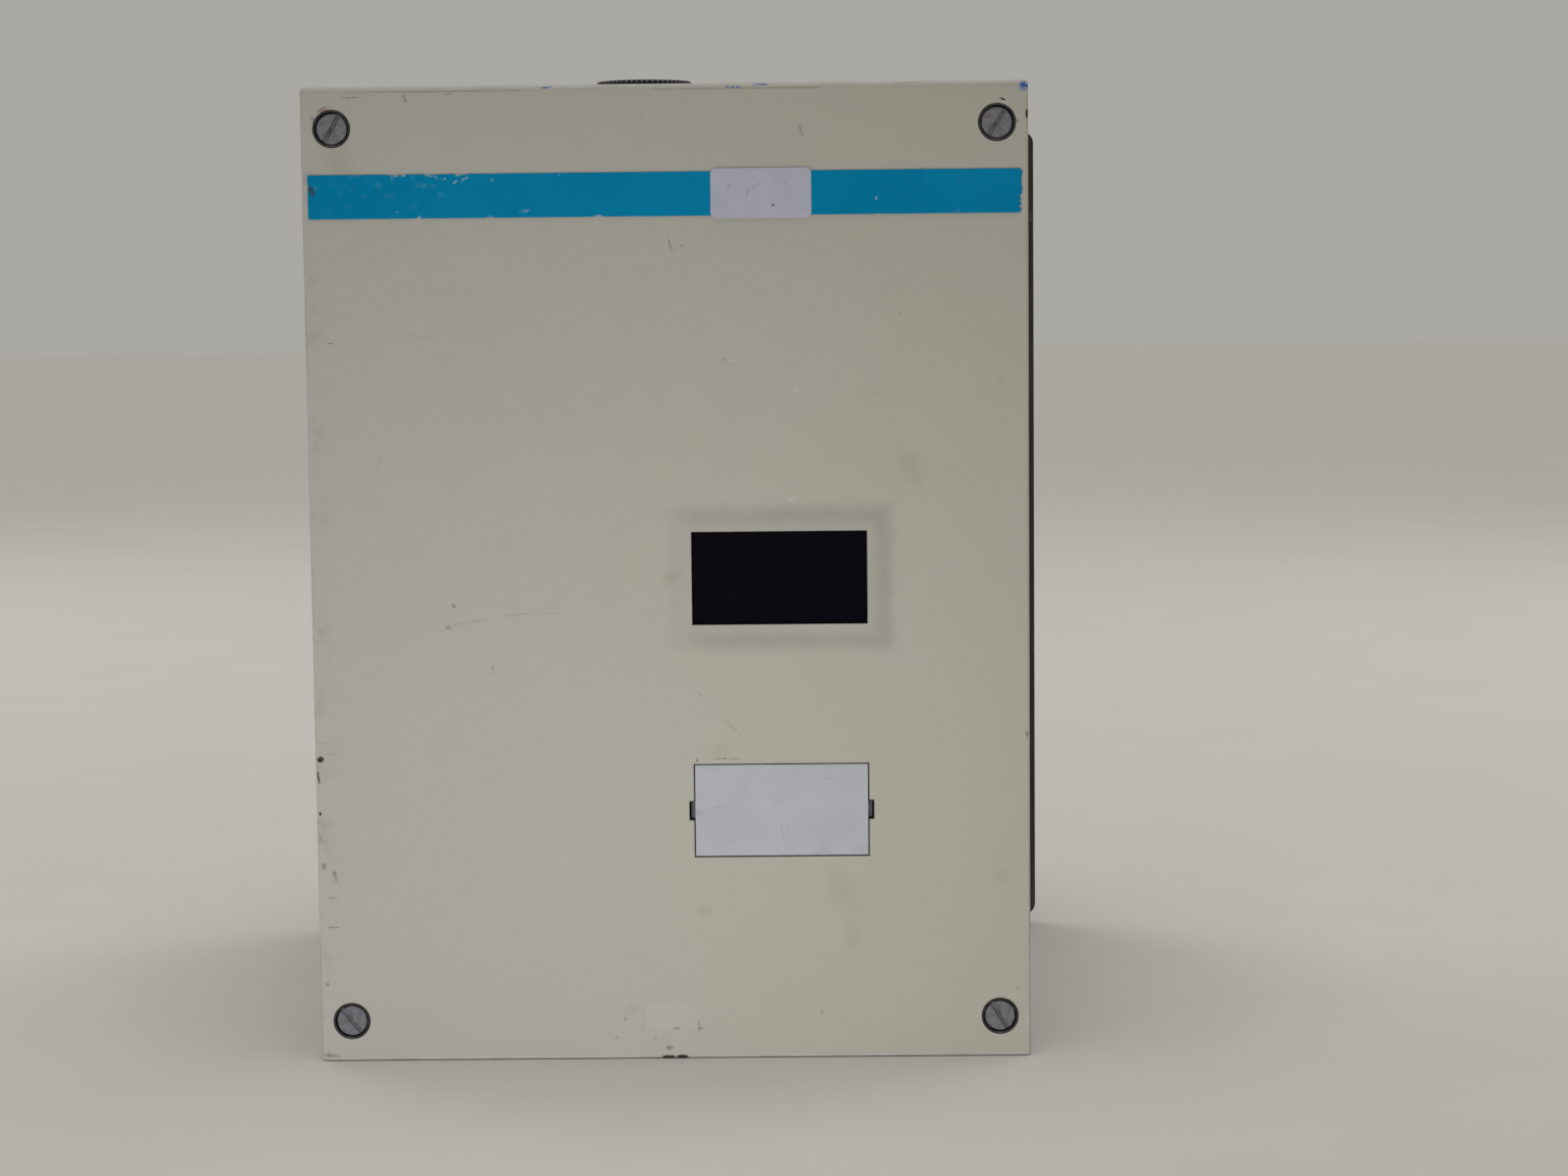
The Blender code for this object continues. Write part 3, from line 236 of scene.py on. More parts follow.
# Marks on the cover's face, as the rows that Look.spots takes.
DARK_CHIPS = (
    (-103.5, 90.3, 1.5, 1.3, 20), (-2.2, 0.4, 2.6, 0.8, 0), (1.8, 0.5, 2.4, 0.9, 0),
    (104.6, 276.3, 0.5, 1.9, 0), (97.6, 280.6, 1.2, 0.35, -12), (-103.9, 74.2, 0.4, 0.8, 0),
    (-104.2, 85.0, 0.35, 2.6, 8), (7.2, 89.2, 0.25, 0.9, 0),
)
GREY_SCUFFS = (
    (-74.6, 282.4, 0.6, 1.9, 14), (39.6, 272.0, 0.45, 2.8, 16), (1.3, 239.9, 0.35, 2.7, 12),
    (4.5, 239.5, 0.9, 0.3, 8), (-63.4, 135.4, 0.9, 1.3, 30), (-65.0, 128.9, 1.4, 0.9, 0),
    (-52.3, 117.0, 0.35, 1.7, -8), (-52.0, 114.9, 0.4, 0.5, 0), (-97.5, 212.3, 1.6, 0.35, 10),
    (0.2, 9.0, 1.9, 0.5, 8), (-1.9, 3.2, 1.8, 1.0, 8), (6.9, 9.4, 0.45, 3.0, 2),
    (7.4, 9.0, 1.4, 0.3, 0), (43.4, 13.5, 0.35, 1.3, 0), (-6.0, 6.2, 1.0, 0.35, 10),
    (-17.8, 6.4, 1.3, 0.4, 10), (-100.0, 55.7, 0.9, 2.5, 14), (-103.2, 58.5, 1.0, 1.6, 0),
    (-100.8, 49.1, 2.6, 0.28, 2), (-100.9, 40.2, 2.9, 0.3, 0), (-102.4, 95.3, 2.4, 0.22, 2),
    (-100.0, 91.8, 2.4, 0.22, -2), (-103.0, 23.1, 1.1, 0.8, -40), (-104.0, 66.5, 0.5, 1.7, 0),
    (-102.0, 1.5, 3.2, 1.0, -8), (101.3, 20.5, 0.5, 0.45, 0), (104.2, 96.0, 0.5, 1.5, 0),
    (15.6, 89.5, 6.4, 0.3, 1), (1.2, 239.6, 0.3, 2.6, 10), (16.6, 206.3, 1.3, 0.25, 25),
    (-15.0, 12.0, 1.2, 0.5, 60), (-90.4, 282.9, 4.2, 0.3, 1), (-62.0, 283.6, 2.2, 0.25, 0),
)
HAIRLINES = (
    (-58.1, 130.6, 8.0, 0.3, 10), (-44.6, 132.6, 7.0, 0.24, 5), (-34.9, 132.9, 4.4, 0.22, -4),
    (8.9, 108.0, 7.4, 0.2, -49), (17.8, 98.8, 7.0, 0.22, -43), (67.6, 219.5, 0.25, 1.3, 0),
    (-7.5, 277.2, 2.4, 0.2, 14), (2.6, 238.2, 1.6, 0.22, 40), (-30.0, 90.0, 9.0, 0.12, 28),
    (-72.0, 214.0, 8.0, 0.12, -12), (72.0, 262.5, 5.0, 0.16, -24), (-84.0, 178.0, 6.0, 0.16, 66),
    (60.0, 196.0, 9.0, 0.14, 12),
)
STAINS = (
    (50.0, 50.0, 6.0, 11.0, 30), (53.0, 37.0, 4.0, 6.0, 0), (-12.5, 15.5, 4.0, 2.6, -30),
    (-9.4, 11.0, 1.0, 6.0, 0), (9.0, 44.5, 3.5, 3.0, 0), (96.6, 53.9, 4.0, 3.5, 0),
    (97.2, 199.1, 2.6, 2.6, 0), (0.9, 143.2, 3.4, 3.0, 0), (15.0, 92.4, 5.5, 2.4, -10),
    (-94.0, 262.0, 7.0, 20.0, 8), (70.0, 175.0, 5.0, 9.0, 30),
)
RUST = (
    (-98.3, 279.4, 3.4, 1.2, 24), (-101.2, 276.6, 0.8, 1.8, 30), (101.8, 274.4, 0.5, 0.9, 0),
    (-93.8, 8.4, 0.6, 0.5, 0),
)
LIGHT_SCUFFS = (
    (18.5, 206.2, 2.2, 0.5, -6), (37.6, 197.4, 1.6, 1.4, 0), (35.5, 165.7, 1.5, 1.2, 20),
    (104.0, 10.8, 1.0, 3.0, 0), (98.8, 18.0, 3.4, 0.5, 20),
)
PALE_OVAL = ((-1.5, 12.6, 10.5, 6.4, 0),)
BLUE_INK = (
    (103.6, 284.2, 1.9, 1.9, 20), (-33.8, 285.2, 2.2, 0.45, 2), (20.0, 284.8, 3.2, 0.4, -3),
    (27.6, 285.4, 3.2, 0.35, 3),
)


def paint_ground(look):
    """Stove enamel that has aged: uneven tone and a fine grain."""
    look.tone = look.mix(look.cloud(85, 2, 0.35, 0.65), PAINT_COOL, PAINT_WARM)
    look.coat(0.72, PAINT)
    look.coat(look.cloud(14, 4, 0.3, 0.75, 0, 0.16), darker(PAINT, 0.86))
    look.coat(look.cloud(0.55, 2, 0.3, 0.72, 0, 0.42), darker(PAINT, 0.8))


def paint_bump(look):
    """Faint orange peel over a sheet that isn't quite flat."""
    return look.bump(look.noise(45, 1), 0.3, 0.3, look.bump(look.noise(1, 3), 0.035))


def window_halo(look):
    """A darker band, a few millimetres outside the window, where a frame was once stuck."""
    x, _, z = look.parts(look.warped(6, 3))
    middle, half = (WINDOW[0] + WINDOW[1]) / 2, (WINDOW[1] - WINDOW[0]) / 2
    beyond = look.most(look.maths("SUBTRACT", look.away(x, middle.x), half.x),
                       look.maths("SUBTRACT", look.away(z, middle.z), half.z))
    worn_left = look.step(x, WINDOW[0].x - 7, WINDOW[0].x + 4, 0.3, 1)
    return look.times(
        look.step(beyond, 0, 5, 0.3, 1), look.step(beyond, 4.5, 9.5, 1, 0), worn_left,
        look.cloud(14, 3, 0.3, 0.65, 0.78, 1), 0.62,
    )


def cover_paint():
    look = Look("cover_enamel", PAINT, 0.5, specular=0.32)
    x, y, z = look.parts()
    warped, soft = look.warped(1.1, 0.9), look.warped(5, 6)
    on_face = look.step(y, FRONT + 1, FRONT + 1.5, 1, 0)
    near_fold = look.step(y, FRONT + 0.9, FRONT + 2.4, 1, 0)
    near_face = look.step(y, FRONT + 2.5, FRONT + 3.5, 1, 0)

    paint_ground(look)
    look.coat(look.step(x, -60, 105, 0, 0.35), PAINT_WARM)
    look.coat(look.times(window_halo(look), on_face), darker(PAINT, 0.66))
    stains = look.step(look.spots(STAINS, soft), 0, 0.9, 0, 0.21)
    look.coat(look.times(stains, on_face), (0.29, 0.245, 0.18))
    rubbed_oval = look.step(look.spots(PALE_OVAL, soft), 0, 0.5, 0, 0.11)
    look.coat(look.times(rubbed_oval, on_face), CHALK)

    # A darker, brownish, patchy band within 9 mm of the left edge.
    near_left = look.step(x, COVER_LOW.x, COVER_LOW.x + 9, 1, 0)
    look.coat(look.times(near_left, look.cloud(7, 5, 0.52, 0.68), 0.35), (0.24, 0.22, 0.19))

    # Paint rubbed thin and chalky along the bottom fold, and a painted highlight along the top and
    # left folds where they catch the light.
    edges = look.most(
        look.step(z, COVER_LOW.z + 0.4, COVER_LOW.z + 1.2, 0.6, 0),
        look.step(z, COVER_TOP - 1.2, COVER_TOP - 0.5, 0, 0.45),
        look.step(x, COVER_LOW.x + 0.3, COVER_LOW.x + 1, 0.4, 0),
    )
    rub_and_highlight = look.times(edges, look.cloud(11, 4, 0.35, 0.6, 0.25, 1), near_fold)
    look.coat(rub_and_highlight, (0.56, 0.57, 0.57))

    # A broken dark line just under the top fold, where the enamel has cracked.
    crack = look.times(
        look.step(z, COVER_TOP - 2, COVER_TOP - 1.7),
        look.step(z, COVER_TOP - 1.5, COVER_TOP - 1.2, 1, 0),
        look.cloud(13, 5, 0.45, 0.6, 0.1, 0.5), on_face,
    )
    look.coat(crack, (0.2, 0.185, 0.16))

    speckle = look.cloud(0.7, 2, 0.35, 0.6, 0.3, 1)
    for rows, soft_end, share, tint in (
        (LIGHT_SCUFFS, 0.8, 0.32, CHALK),
        (HAIRLINES, 0.6, 0.5, (0.20, 0.19, 0.17)),
        (GREY_SCUFFS, 0.7, 0.75, (0.13, 0.125, 0.115)),
        (RUST, 0.7, 0.7, (0.20, 0.115, 0.05)),
    ):
        marks = look.step(look.spots(rows, warped), 0.05, soft_end, 0, share)
        look.coat(look.times(marks, speckle, on_face), tint)
    ink = look.step(look.spots(BLUE_INK, warped), 0.12, 0.5)
    look.coat(look.times(ink, look.cloud(1, 2, 0.4, 0.55, 0.2, 1), near_face), (0.03, 0.085, 0.34))
    chips = look.times(look.step(look.spots(DARK_CHIPS, warped), 0.12, 0.42), near_face)
    look.coat(chips, (0.035, 0.032, 0.028))
    normal = look.bump(look.times(chips, -1), 0.08, 1, paint_bump(look))
    return look.finish(look.cloud(5, 4, 0.3, 0.7, 0.46, 0.6), normal)


# Marks on the housing's side walls: y, z, half length, half width and tilt.
WALL_MARKS = {
    -1: ((-20, 150, 26, 0.3, 12), (-12, 141, 9, 0.24, 16), (38, 88, 14, 0.26, -38),
         (62, 246, 8, 0.3, 4), (-52, 60, 5, 0.5, 70), (74, 34, 3, 1.4, 20), (10, 24, 2, 1.2, 0)),
    1: ((-30, 118, 20, 0.28, -22), (14, 70, 11, 0.3, 30), (48, 128, 6, 0.24, 75),
        (70, 210, 9, 0.3, -8), (-56, 236, 3, 1, 10), (26, 16, 3.2, 1.3, 0)),
}


def housing_paint():
    """The same enamel on the housing, with dust, long rubs, scratches and worn outer edges."""
    look = Look("housing_enamel", PAINT, 0.52, specular=0.35)
    x, y, z = look.parts()
    paint_ground(look)
    upright = look.stretched((1, 1, 0.12))
    look.coat(look.cloud(6, 5, 0.62, 0.74, 0, 0.3, at=upright), (0.27, 0.25, 0.215))
    look.coat(look.step(z, 0, 30, 0.25, 0), (0.25, 0.225, 0.18))
    dust = look.cloud(16, 5, 0.3, 0.7, 0.06, 0.3)
    look.coat(look.times(look.facing_up(0.6, 0.95), dust), (0.36, 0.33, 0.27))

    _, shifted_y, shifted_z = look.parts(look.warped(3, 1.4))
    flat = look.node("ShaderNodeCombineXYZ", {"X": shifted_y, "Z": shifted_z}).outputs[0]
    speckle = look.cloud(0.9, 3, 0.35, 0.6, 0.3, 1)
    for side, rows in WALL_MARKS.items():
        here = look.step(look.times(x, side), 101.4, 101.6)
        marks = look.step(look.spots(rows, flat), 0.05, 0.7, 0, 0.7)
        look.coat(look.times(marks, here, speckle), (0.17, 0.16, 0.145))

    top, back = box("top_plate")[1].z, box("side_wall_left")[1].y
    at_side = look.step(look.away(x), 101.9, 102.9)
    at_top = look.step(z, top - 1.1, top - 0.2)
    at_back = look.step(y, back - 1.1, back - 0.3)
    corners = look.most(look.times(at_side, at_top), look.times(at_side, at_back),
                        look.times(at_top, at_back))
    look.coat(look.times(corners, look.cloud(7, 5, 0.5, 0.58, 0, 0.85)), (0.15, 0.145, 0.14))
    return look.finish(look.cloud(8, 4, 0.3, 0.7, 0.46, 0.64), paint_bump(look))


def plate_enamel():
    """Dark enamel on the rear plate, with scratches, chalky scuffs and wear at the keyholes."""
    look = Look("plate_enamel", (0.045, 0.040, 0.030), 0.5, specular=0.4)
    x, _, z = look.parts()
    look.tone = look.mix(look.cloud(30, 5, 0.3, 0.7), (0.05, 0.045, 0.034), (0.036, 0.032, 0.026))
    streak = look.stretched((0.05, 1, 1), (0, 0.35, 0))
    scuffs = look.cloud(1.6, 4, 0.64, 0.74, 0, 0.22, at=streak)
    look.coat(look.times(scuffs, look.cloud(45, 3, 0.45, 0.62)), (0.22, 0.21, 0.19))
    bare = (0.2, 0.19, 0.18)
    rows = [(side * 112, up, size, size * 1.5, 0)
            for side in (-1, 1) for up, size in ((251, 9), (22, 7))]
    near_holes = look.step(look.spots(rows, look.warped(3, 3)), 0, 0.5)
    look.coat(look.times(near_holes, look.cloud(2.2, 4, 0.5, 0.6, 0, 0.8)), bare)
    edge = look.step(look.away(x), 119.5, 119.95, 0, 0.6)
    look.coat(look.times(edge, look.cloud(9, 4, 0.56, 0.64, 0, 0.7)), bare)
    look.coat(look.step(z, 3, 28, 0.3, 0), (0.16, 0.145, 0.115))
    return look.finish(look.cloud(10, 4, 0.3, 0.7, 0.42, 0.6), look.bump(look.noise(0.9, 3), 0.03))


FLAKES = (
    (-78.2, 260.5, 1.8, 0.5, -16), (-75.6, 260.3, 1.0, 0.3, 22), (-68.2, 260.4, 1.5, 0.5, -24),
    (-65.8, 259.8, 1.8, 0.45, -20), (-63.6, 259.3, 0.8, 0.35, 12), (-59.2, 260.5, 1.8, 0.5, 10),
    (-57.4, 259.5, 1.5, 0.4, 22), (-60.4, 258.4, 1.1, 0.4, 32), (-58.6, 258.7, 0.8, 0.35, 8),
    (-49.6, 258.8, 0.6, 0.5, 0), (-40.6, 249.9, 2.2, 0.4, 11), (-70.9, 248.5, 0.9, 0.4, 30),
    (-77.4, 249.8, 0.6, 0.3, 25), (-50.5, 248.4, 1.1, 0.35, 0), (-19.3, 248.3, 1.6, 0.4, 0),
    (61.0, 252.6, 0.7, 0.4, 40), (-30.2, 260.2, 0.6, 0.3, 0), (84.0, 248.5, 1.2, 0.3, 6),
)


def band_foil():
    """Blue foil with flakes gone, a rubbed upper left and a smudge at its left end."""
    look = Look("band_foil", (0.001, 0.19, 0.37), 0.65, specular=0.03)
    x, _, z = look.parts()
    look.tone = look.mix(look.cloud(30, 3, 0.3, 0.7), (0.001, 0.197, 0.38), (0.002, 0.218, 0.415))
    look.coat(look.cloud(0.5, 1, 0.3, 0.75, 0, 0.25), (0.003, 0.15, 0.29))
    warped = look.warped(0.9, 1.2)
    gone = look.step(look.spots(FLAKES, warped), 0.1, 0.5)
    look.coat(look.times(gone, look.cloud(0.7, 4, 0.4, 0.6, 0, 0.9)), (0.36, 0.44, 0.46))
    rubbed = look.times(look.step(z, 252, 260, 0.2, 1), look.step(x, -90, -30, 1, 0.15),
                        look.cloud(3.2, 5, 0.55, 0.72, 0, 0.22))
    look.coat(rubbed, (0.25, 0.42, 0.5))
    smudges = look.spots(((-102.3, 256.6, 1.2, 2.0, 12), (-101.6, 255.4, 1.6, 0.5, 50)), warped)
    look.coat(look.step(smudges, 0.1, 0.7, 0, 0.8), (0.05, 0.045, 0.04))
    return look.finish(normal=look.bump(look.noise(0.8, 2), 0.01))


def label_paper():
    """A plain sticker with a few soft scuffs."""
    look = Look("label_film", (0.42, 0.424, 0.51), 0.55, specular=0.25)
    look.tone = look.mix(look.cloud(9, 3, 0.3, 0.7), (0.405, 0.41, 0.495), (0.435, 0.44, 0.525))
    scuffs = (
        (18.6, 256.6, 2.3, 0.42, 52), (26.2, 256.4, 3.2, 0.5, 32), (23.8, 254.4, 1.8, 0.4, 62),
        (17.2, 251.4, 1.6, 0.3, -35), (35.0, 257.6, 2.2, 0.3, 15),
    )
    faint = look.step(look.spots(scuffs, look.warped(2.5, 1.6)), 0.08, 0.8, 0, 0.5)
    look.coat(look.times(faint, look.cloud(1.2, 2, 0.3, 0.6, 0.3, 1)), (0.22, 0.215, 0.25))
    dot = look.spots(((31.2, 250.9, 0.75, 0.65, 0),), look.warped(0.8, 0.5))
    look.coat(look.step(dot, 0.15, 0.5, 0, 0.85), (0.14, 0.12, 0.14))
    return look.finish(normal=look.bump(look.noise(4, 2), 0.06, 0.6))


def hatch_plastic():
    """Pale plastic with scratches, and painted shade on the hooks where they sit in their notches.
    """
    look = Look("hatch_plastic", (0.42, 0.432, 0.475), 0.45, specular=0.35)
    look.tone = look.mix(look.cloud(16, 3, 0.3, 0.7), (0.41, 0.42, 0.462), (0.435, 0.446, 0.49))
    look.coat(look.cloud(0.8, 1, 0.3, 0.75, 0, 0.14), (0.32, 0.325, 0.34))
    warped = look.warped(4, 1.8)
    scratches = (
        (8.4, 73.6, 2.6, 0.2, 20), (13.2, 75.0, 3.2, 0.24, 4), (18.2, 74.7, 2.8, 0.2, -8),
        (29.2, 77.0, 5.2, 0.12, -66), (32.3, 67.0, 6.4, 0.18, -76), (13.0, 81.5, 3.0, 0.12, 38),
        (46.0, 83.2, 2.6, 0.14, 2), (44.0, 66.0, 3.0, 0.1, 24),
    )
    look.coat(look.step(look.spots(scratches, warped), 0.05, 0.9, 0, 0.45), (0.15, 0.15, 0.165))
    # Painted shade beside the left notch, and a darker patch along the lower right edge.
    notch_shade_and_edge_patch = look.spots(((6.6, 74.0, 2.2, 3.2, 0), (56.0, 62.0, 5.0, 1.6, 0)), warped)
    look.coat(look.step(notch_shade_and_edge_patch, 0, 1, 0, 0.16), (0.2, 0.2, 0.2))
    look.coat(look.cloud(5, 5, 0.58, 0.72, 0, 0.14), (0.25, 0.25, 0.26))
    # Painted shade: the hooks beyond the plate's sides are darkened as if in shadow inside the
    # cover's notches.
    from_middle = look.away(look.parts()[0], middle_of("service_hatch").x)
    look.coat(look.step(from_middle, 25.5, 25.7, 0, 0.86), (0.045, 0.045, 0.04))
    return look.finish(look.cloud(3, 3, 0.3, 0.7, 0.42, 0.56), look.bump(look.noise(0.7, 2), 0.012))


def window_smoke():
    look = Look("window_smoke", (0.0035, 0.003, 0.006), 0.32, specular=0.03)
    look.coat(look.cloud(2.2, 6, 0.62, 0.8, 0, 0.03), (0.08, 0.08, 0.08))
    return look.finish(look.cloud(7, 3, 0.3, 0.7, 0.28, 0.42))


def worn_metal(name, colour, dark, roughness, rust=0.0):
    """Dull plated steel: cloudy, slightly pitted and, if asked, touched by rust."""
    look = Look(name, colour, roughness, metallic=0.85)
    look.coat(look.cloud(2, 4, 0.35, 0.7), dark)
    metallic = None
    if rust:
        spread = look.cloud(1.6, 5, 0.6, 0.7, 0, rust)
        look.coat(spread, (0.12, 0.055, 0.025))
        metallic = look.maths("SUBTRACT", 0.85, look.times(spread, 0.8))
    rough = look.cloud(1.1, 4, 0.3, 0.7, roughness - 0.08, roughness + 0.14)
    return look.finish(rough, look.bump(look.noise(0.45, 3), 0.02, 0.8), metallic)


def turned_metal(name, colour, roughness):
    """Fine lathe rings about the piece's own Z axis."""
    look = Look(name, colour, roughness, metallic=0.35)
    x, y, _ = look.parts()
    radius = look.maths("SQRT", look.maths("ADD", look.times(x, x), look.times(y, y)))
    look.coat(look.cloud(1.8, 4, 0.35, 0.7), darker(colour, 0.62))
    look.coat(look.cloud(1.3, 5, 0.63, 0.72, 0, 0.55), (0.10, 0.055, 0.03))
    rough = look.cloud(0.9, 4, 0.3, 0.7, roughness - 0.06, roughness + 0.16)
    grooves = look.bump(look.wave(radius, 0.35), 0.006, 0.6)
    return look.finish(rough, look.bump(look.noise(0.6, 3), 0.03, 0.8, grooves))


def moulded(name, colour, roughness=0.5, dust=0.0, grain=0.6, specular=0.4):
    """Moulded plastic or rubber with a fine grain, and dust on what faces up."""
    look = Look(name, colour, roughness, specular=specular)
    look.coat(look.cloud(6, 3, 0.3, 0.7, 0, 0.35), darker(colour, 0.7))
    if dust:
        lies = look.times(look.facing_up(0.2, 0.9), dust, look.cloud(2.5, 5, 0.35, 0.65, 0.3, 1))
        look.coat(lies, (0.30, 0.28, 0.24))
    rough = look.cloud(2, 3, 0.3, 0.7, roughness - 0.06, roughness + 0.1)
    return look.finish(rough, look.bump(look.noise(grain, 2), 0.02, 0.7))


def plated(name, colour, roughness=0.38):
    """Zinc plated sheet with its cloudy spangle and the rolling direction."""
    look = Look(name, colour, roughness, metallic=0.9)
    inputs = {"Vector": look.warped(8, 4), "Scale": 1 / 6}
    cells = look.node("ShaderNodeTexVoronoi", inputs).outputs["Color"]
    look.coat(look.step(cells, 0.2, 0.8, 0, 0.5), darker(colour, 0.72))
    lines = look.bump(look.noise(0.5, 3, look.stretched((1, 1, 0.04))), 0.01, 0.7)
    return look.finish(look.step(cells, 0, 1, roughness - 0.08, roughness + 0.12), lines)


def extruded(name, colour):
    """Aluminium with the fine lines that the die leaves."""
    look = Look(name, colour, 0.36, metallic=0.95)
    draw = look.noise(0.35, 4, look.stretched((1, 1, 0.02)))
    look.coat(look.step(draw, 0.3, 0.7, 0, 0.4), darker(colour, 0.7))
    return look.finish(look.cloud(12, 4, 0.3, 0.7, 0.3, 0.48), look.bump(draw, 0.02, 0.8))


def circuit_board():
    """Solder resist over copper tracks, which show as a slightly raised, lighter pattern."""
    look = Look("circuit_board", (0.02, 0.16, 0.07), 0.36)
    bricks = look.node("ShaderNodeTexBrick", {
        "Vector": look.stretched((1, 1, 1), (math.pi / 2, 0, 0)), "Scale": 1.0,
        "Mortar Size": 0.35, "Mortar Smooth": 0.0, "Brick Width": 13, "Row Height": 2.5,
    })
    track = look.times(bricks.outputs["Fac"], look.cloud(9, 1, 0.46, 0.5))
    look.tone = look.mix(track, (0.012, 0.11, 0.05), (0.05, 0.25, 0.10))
    look.coat(look.cloud(18, 4, 0.4, 0.7, 0, 0.25), (0.05, 0.07, 0.04))
    return look.finish(normal=look.bump(track, 0.03))


def sleeve_film(name, colour):
    """Shrink film with faint upright creases and a lighter stripe round one side."""
    look = Look(name, colour, 0.3)
    look.coat(look.step(look.parts()[0], 10, 10.4, 0, 0.35), (0.35, 0.38, 0.42))
    creases = look.noise(5, 3)
    return look.finish(look.step(creases, 0.3, 0.7, 0.24, 0.42), look.bump(creases, 0.15, 0.7))


def ridged(name, axis, pitch, colours, step, depth, roughness, metallic=0.0, strength=1.0):
    """Ridges across one axis, with the second colour where the wave is stepped up."""
    look = Look(name, colours[0], roughness, metallic)
    ridges = look.wave(look.parts()[axis], pitch)
    look.coat(look.step(ridges, *step), colours[1])
    return look, look.bump(ridges, depth, strength)


def laminations():
    look, ridges = ridged("laminations", 1, 0.7, ((0.16, 0.15, 0.14), (0.06, 0.045, 0.035)),
                          (-0.4, 0.4, 0, 0.6), 0.05, 0.5, 0.6, 0.8)
    return look.finish(normal=ridges)


def enamelled_wire():
    # The darker second colour lies in the valleys between the turns, as painted shade.
    look, ridges = ridged("enamelled_wire", 2, 1.3, ((0.42, 0.13, 0.04), (0.08, 0.02, 0.01)),
                          (-0.9, 0.2, 0.8, 0), 0.35, 0.3, 0.7)
    return look.finish(normal=ridges)


def flat_cable():
    # The darker second colour lies in the grooves between the cores, as painted shade.
    look, ridges = ridged("flat_cable", 0, 1.27, ((0.40, 0.40, 0.41), (0.24, 0.24, 0.25)),
                          (-1, 0.2, 0.45, 0), 0.3, 0.45)
    first_core = look.step(look.parts()[0], 21.4, 21.6, 0.85, 0)
    look.coat(first_core, (0.40, 0.03, 0.03))
    return look.finish(normal=ridges)


def resistor_body():
    """A lacquered body with four colour rings, which repeat the same way on each row."""
    look = Look("resistor_body", (0.44, 0.30, 0.16), 0.4)
    tint = look.step(look.noise(4, 0), 0.42, 0.56)
    hue = look.mix(tint, (0.30, 0.02, 0.01), (0.03, 0.03, 0.05))
    look.coat(look.step(look.wave(look.parts()[2], 1.5), 0.55, 0.7), hue)
    return look.finish()


# Shapes ---------------------------------------------------------------------------------------
FACING = (math.pi / 2, 0, 0)
# The sheet metal's thickness, the reach of a bend, and how far the housing is folded in.
SHEET, BEND, FLANGE = 1.5, 1.8, 14


def mesh_of(shape, name="helper"):
    mesh = bpy.data.meshes.new(name)
    shape.to_mesh(mesh)
    shape.free()
    return mesh


def piece(name, shape, look, body, replaced=(), at=(0, 0, 0), turn=(0, 0, 0), angle=32):
    """Turns a bmesh or a mesh into a piece that rides on a body and stands for CAD nodes."""
    mesh = shape if isinstance(shape, bpy.types.Mesh) else mesh_of(shape)
    mesh.name = name
    mesh.transform(Matrix.Scale(MM, 4))
    mesh.materials.clear()
    mesh.materials.append(look)
    mesh.shade_smooth()
    mesh.set_sharp_from_angle(angle=math.radians(angle))
    obj = bpy.data.objects.new(name, mesh)
    obj.location = Vector(at) * MM
    obj.rotation_euler = turn
    bpy.context.scene.collection.objects.link(obj)
    flatten = obj.modifiers.new("flat_faces_stay_flat", "WEIGHTED_NORMAL")
    flatten.keep_sharp = True
    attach(obj, body)
    if replaced:
        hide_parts(*replaced)


def helper(shape):
    """A temporary object for modifiers to work on or with."""
    mesh = shape if isinstance(shape, bpy.types.Mesh) else mesh_of(shape)
    obj = bpy.data.objects.new("helper", mesh)
    bpy.context.scene.collection.objects.link(obj)
    return obj


def settled(obj, others=()):
    """The mesh that the object's modifiers make, with the object and the others removed."""
    bpy.context.view_layer.update()
    graph = bpy.context.evaluated_depsgraph_get()
    mesh = bpy.data.meshes.new_from_object(obj.evaluated_get(graph))
    for gone in (obj, *others):
        bpy.data.objects.remove(gone)
    return mesh


def carved(shape, cutters=(), width=0.0, segments=2, angle=50, joined=(), last=()):
    """A shape with cuts, then rounded sharp edges, then others joined on, then the last cuts."""
    obj, used = helper(shape), []

    def combine(operation, others):
        for other in map(helper, others):
            boolean = obj.modifiers.new("combine", "BOOLEAN")
            boolean.operation = operation
            boolean.solver = "EXACT"
            boolean.object = other
            used.append(other)

    combine("DIFFERENCE", cutters)
    if width:
        bevel = obj.modifiers.new("round", "BEVEL")
        bevel.width = width
        bevel.segments = segments
        bevel.limit_method = "ANGLE"
        bevel.angle_limit = math.radians(angle)
        bevel.use_clamp_overlap = True
    combine("UNION", joined)
    combine("DIFFERENCE", last)
    return settled(obj, used)


def box_shape(*corners):
    """One bmesh of several boxes, each given as (low, high)."""
    shape = bmesh.new()
    for low, high in corners:
        low, high = Vector(low), Vector(high)
        made = bmesh.ops.create_cube(shape, size=1)["verts"]
        bmesh.ops.scale(shape, vec=high - low, verts=made)
        bmesh.ops.translate(shape, vec=(low + high) / 2, verts=made)
    return shape


def bar_into(shape, radius, low, high, segments=32, end=None):
    low, high = Vector(low), Vector(high)
    turn = (high - low).to_track_quat("Z", "Y").to_matrix().to_4x4()
    bmesh.ops.create_cone(
        shape, cap_ends=True, segments=segments, radius1=radius,
        radius2=radius if end is None else end, depth=(high - low).length,
        matrix=Matrix.Translation((low + high) / 2) @ turn,
    )


def bars(radius, ends, segments=32, end=None):
    shape = bmesh.new()
    for low, high in ends:
        bar_into(shape, radius, low, high, segments, end)
    return shape


def in_depth(places, front, back):
    """The two ends of a bar along Y at each place (x, z)."""
    return [((x, front, z), (x, back, z)) for x, z in places]


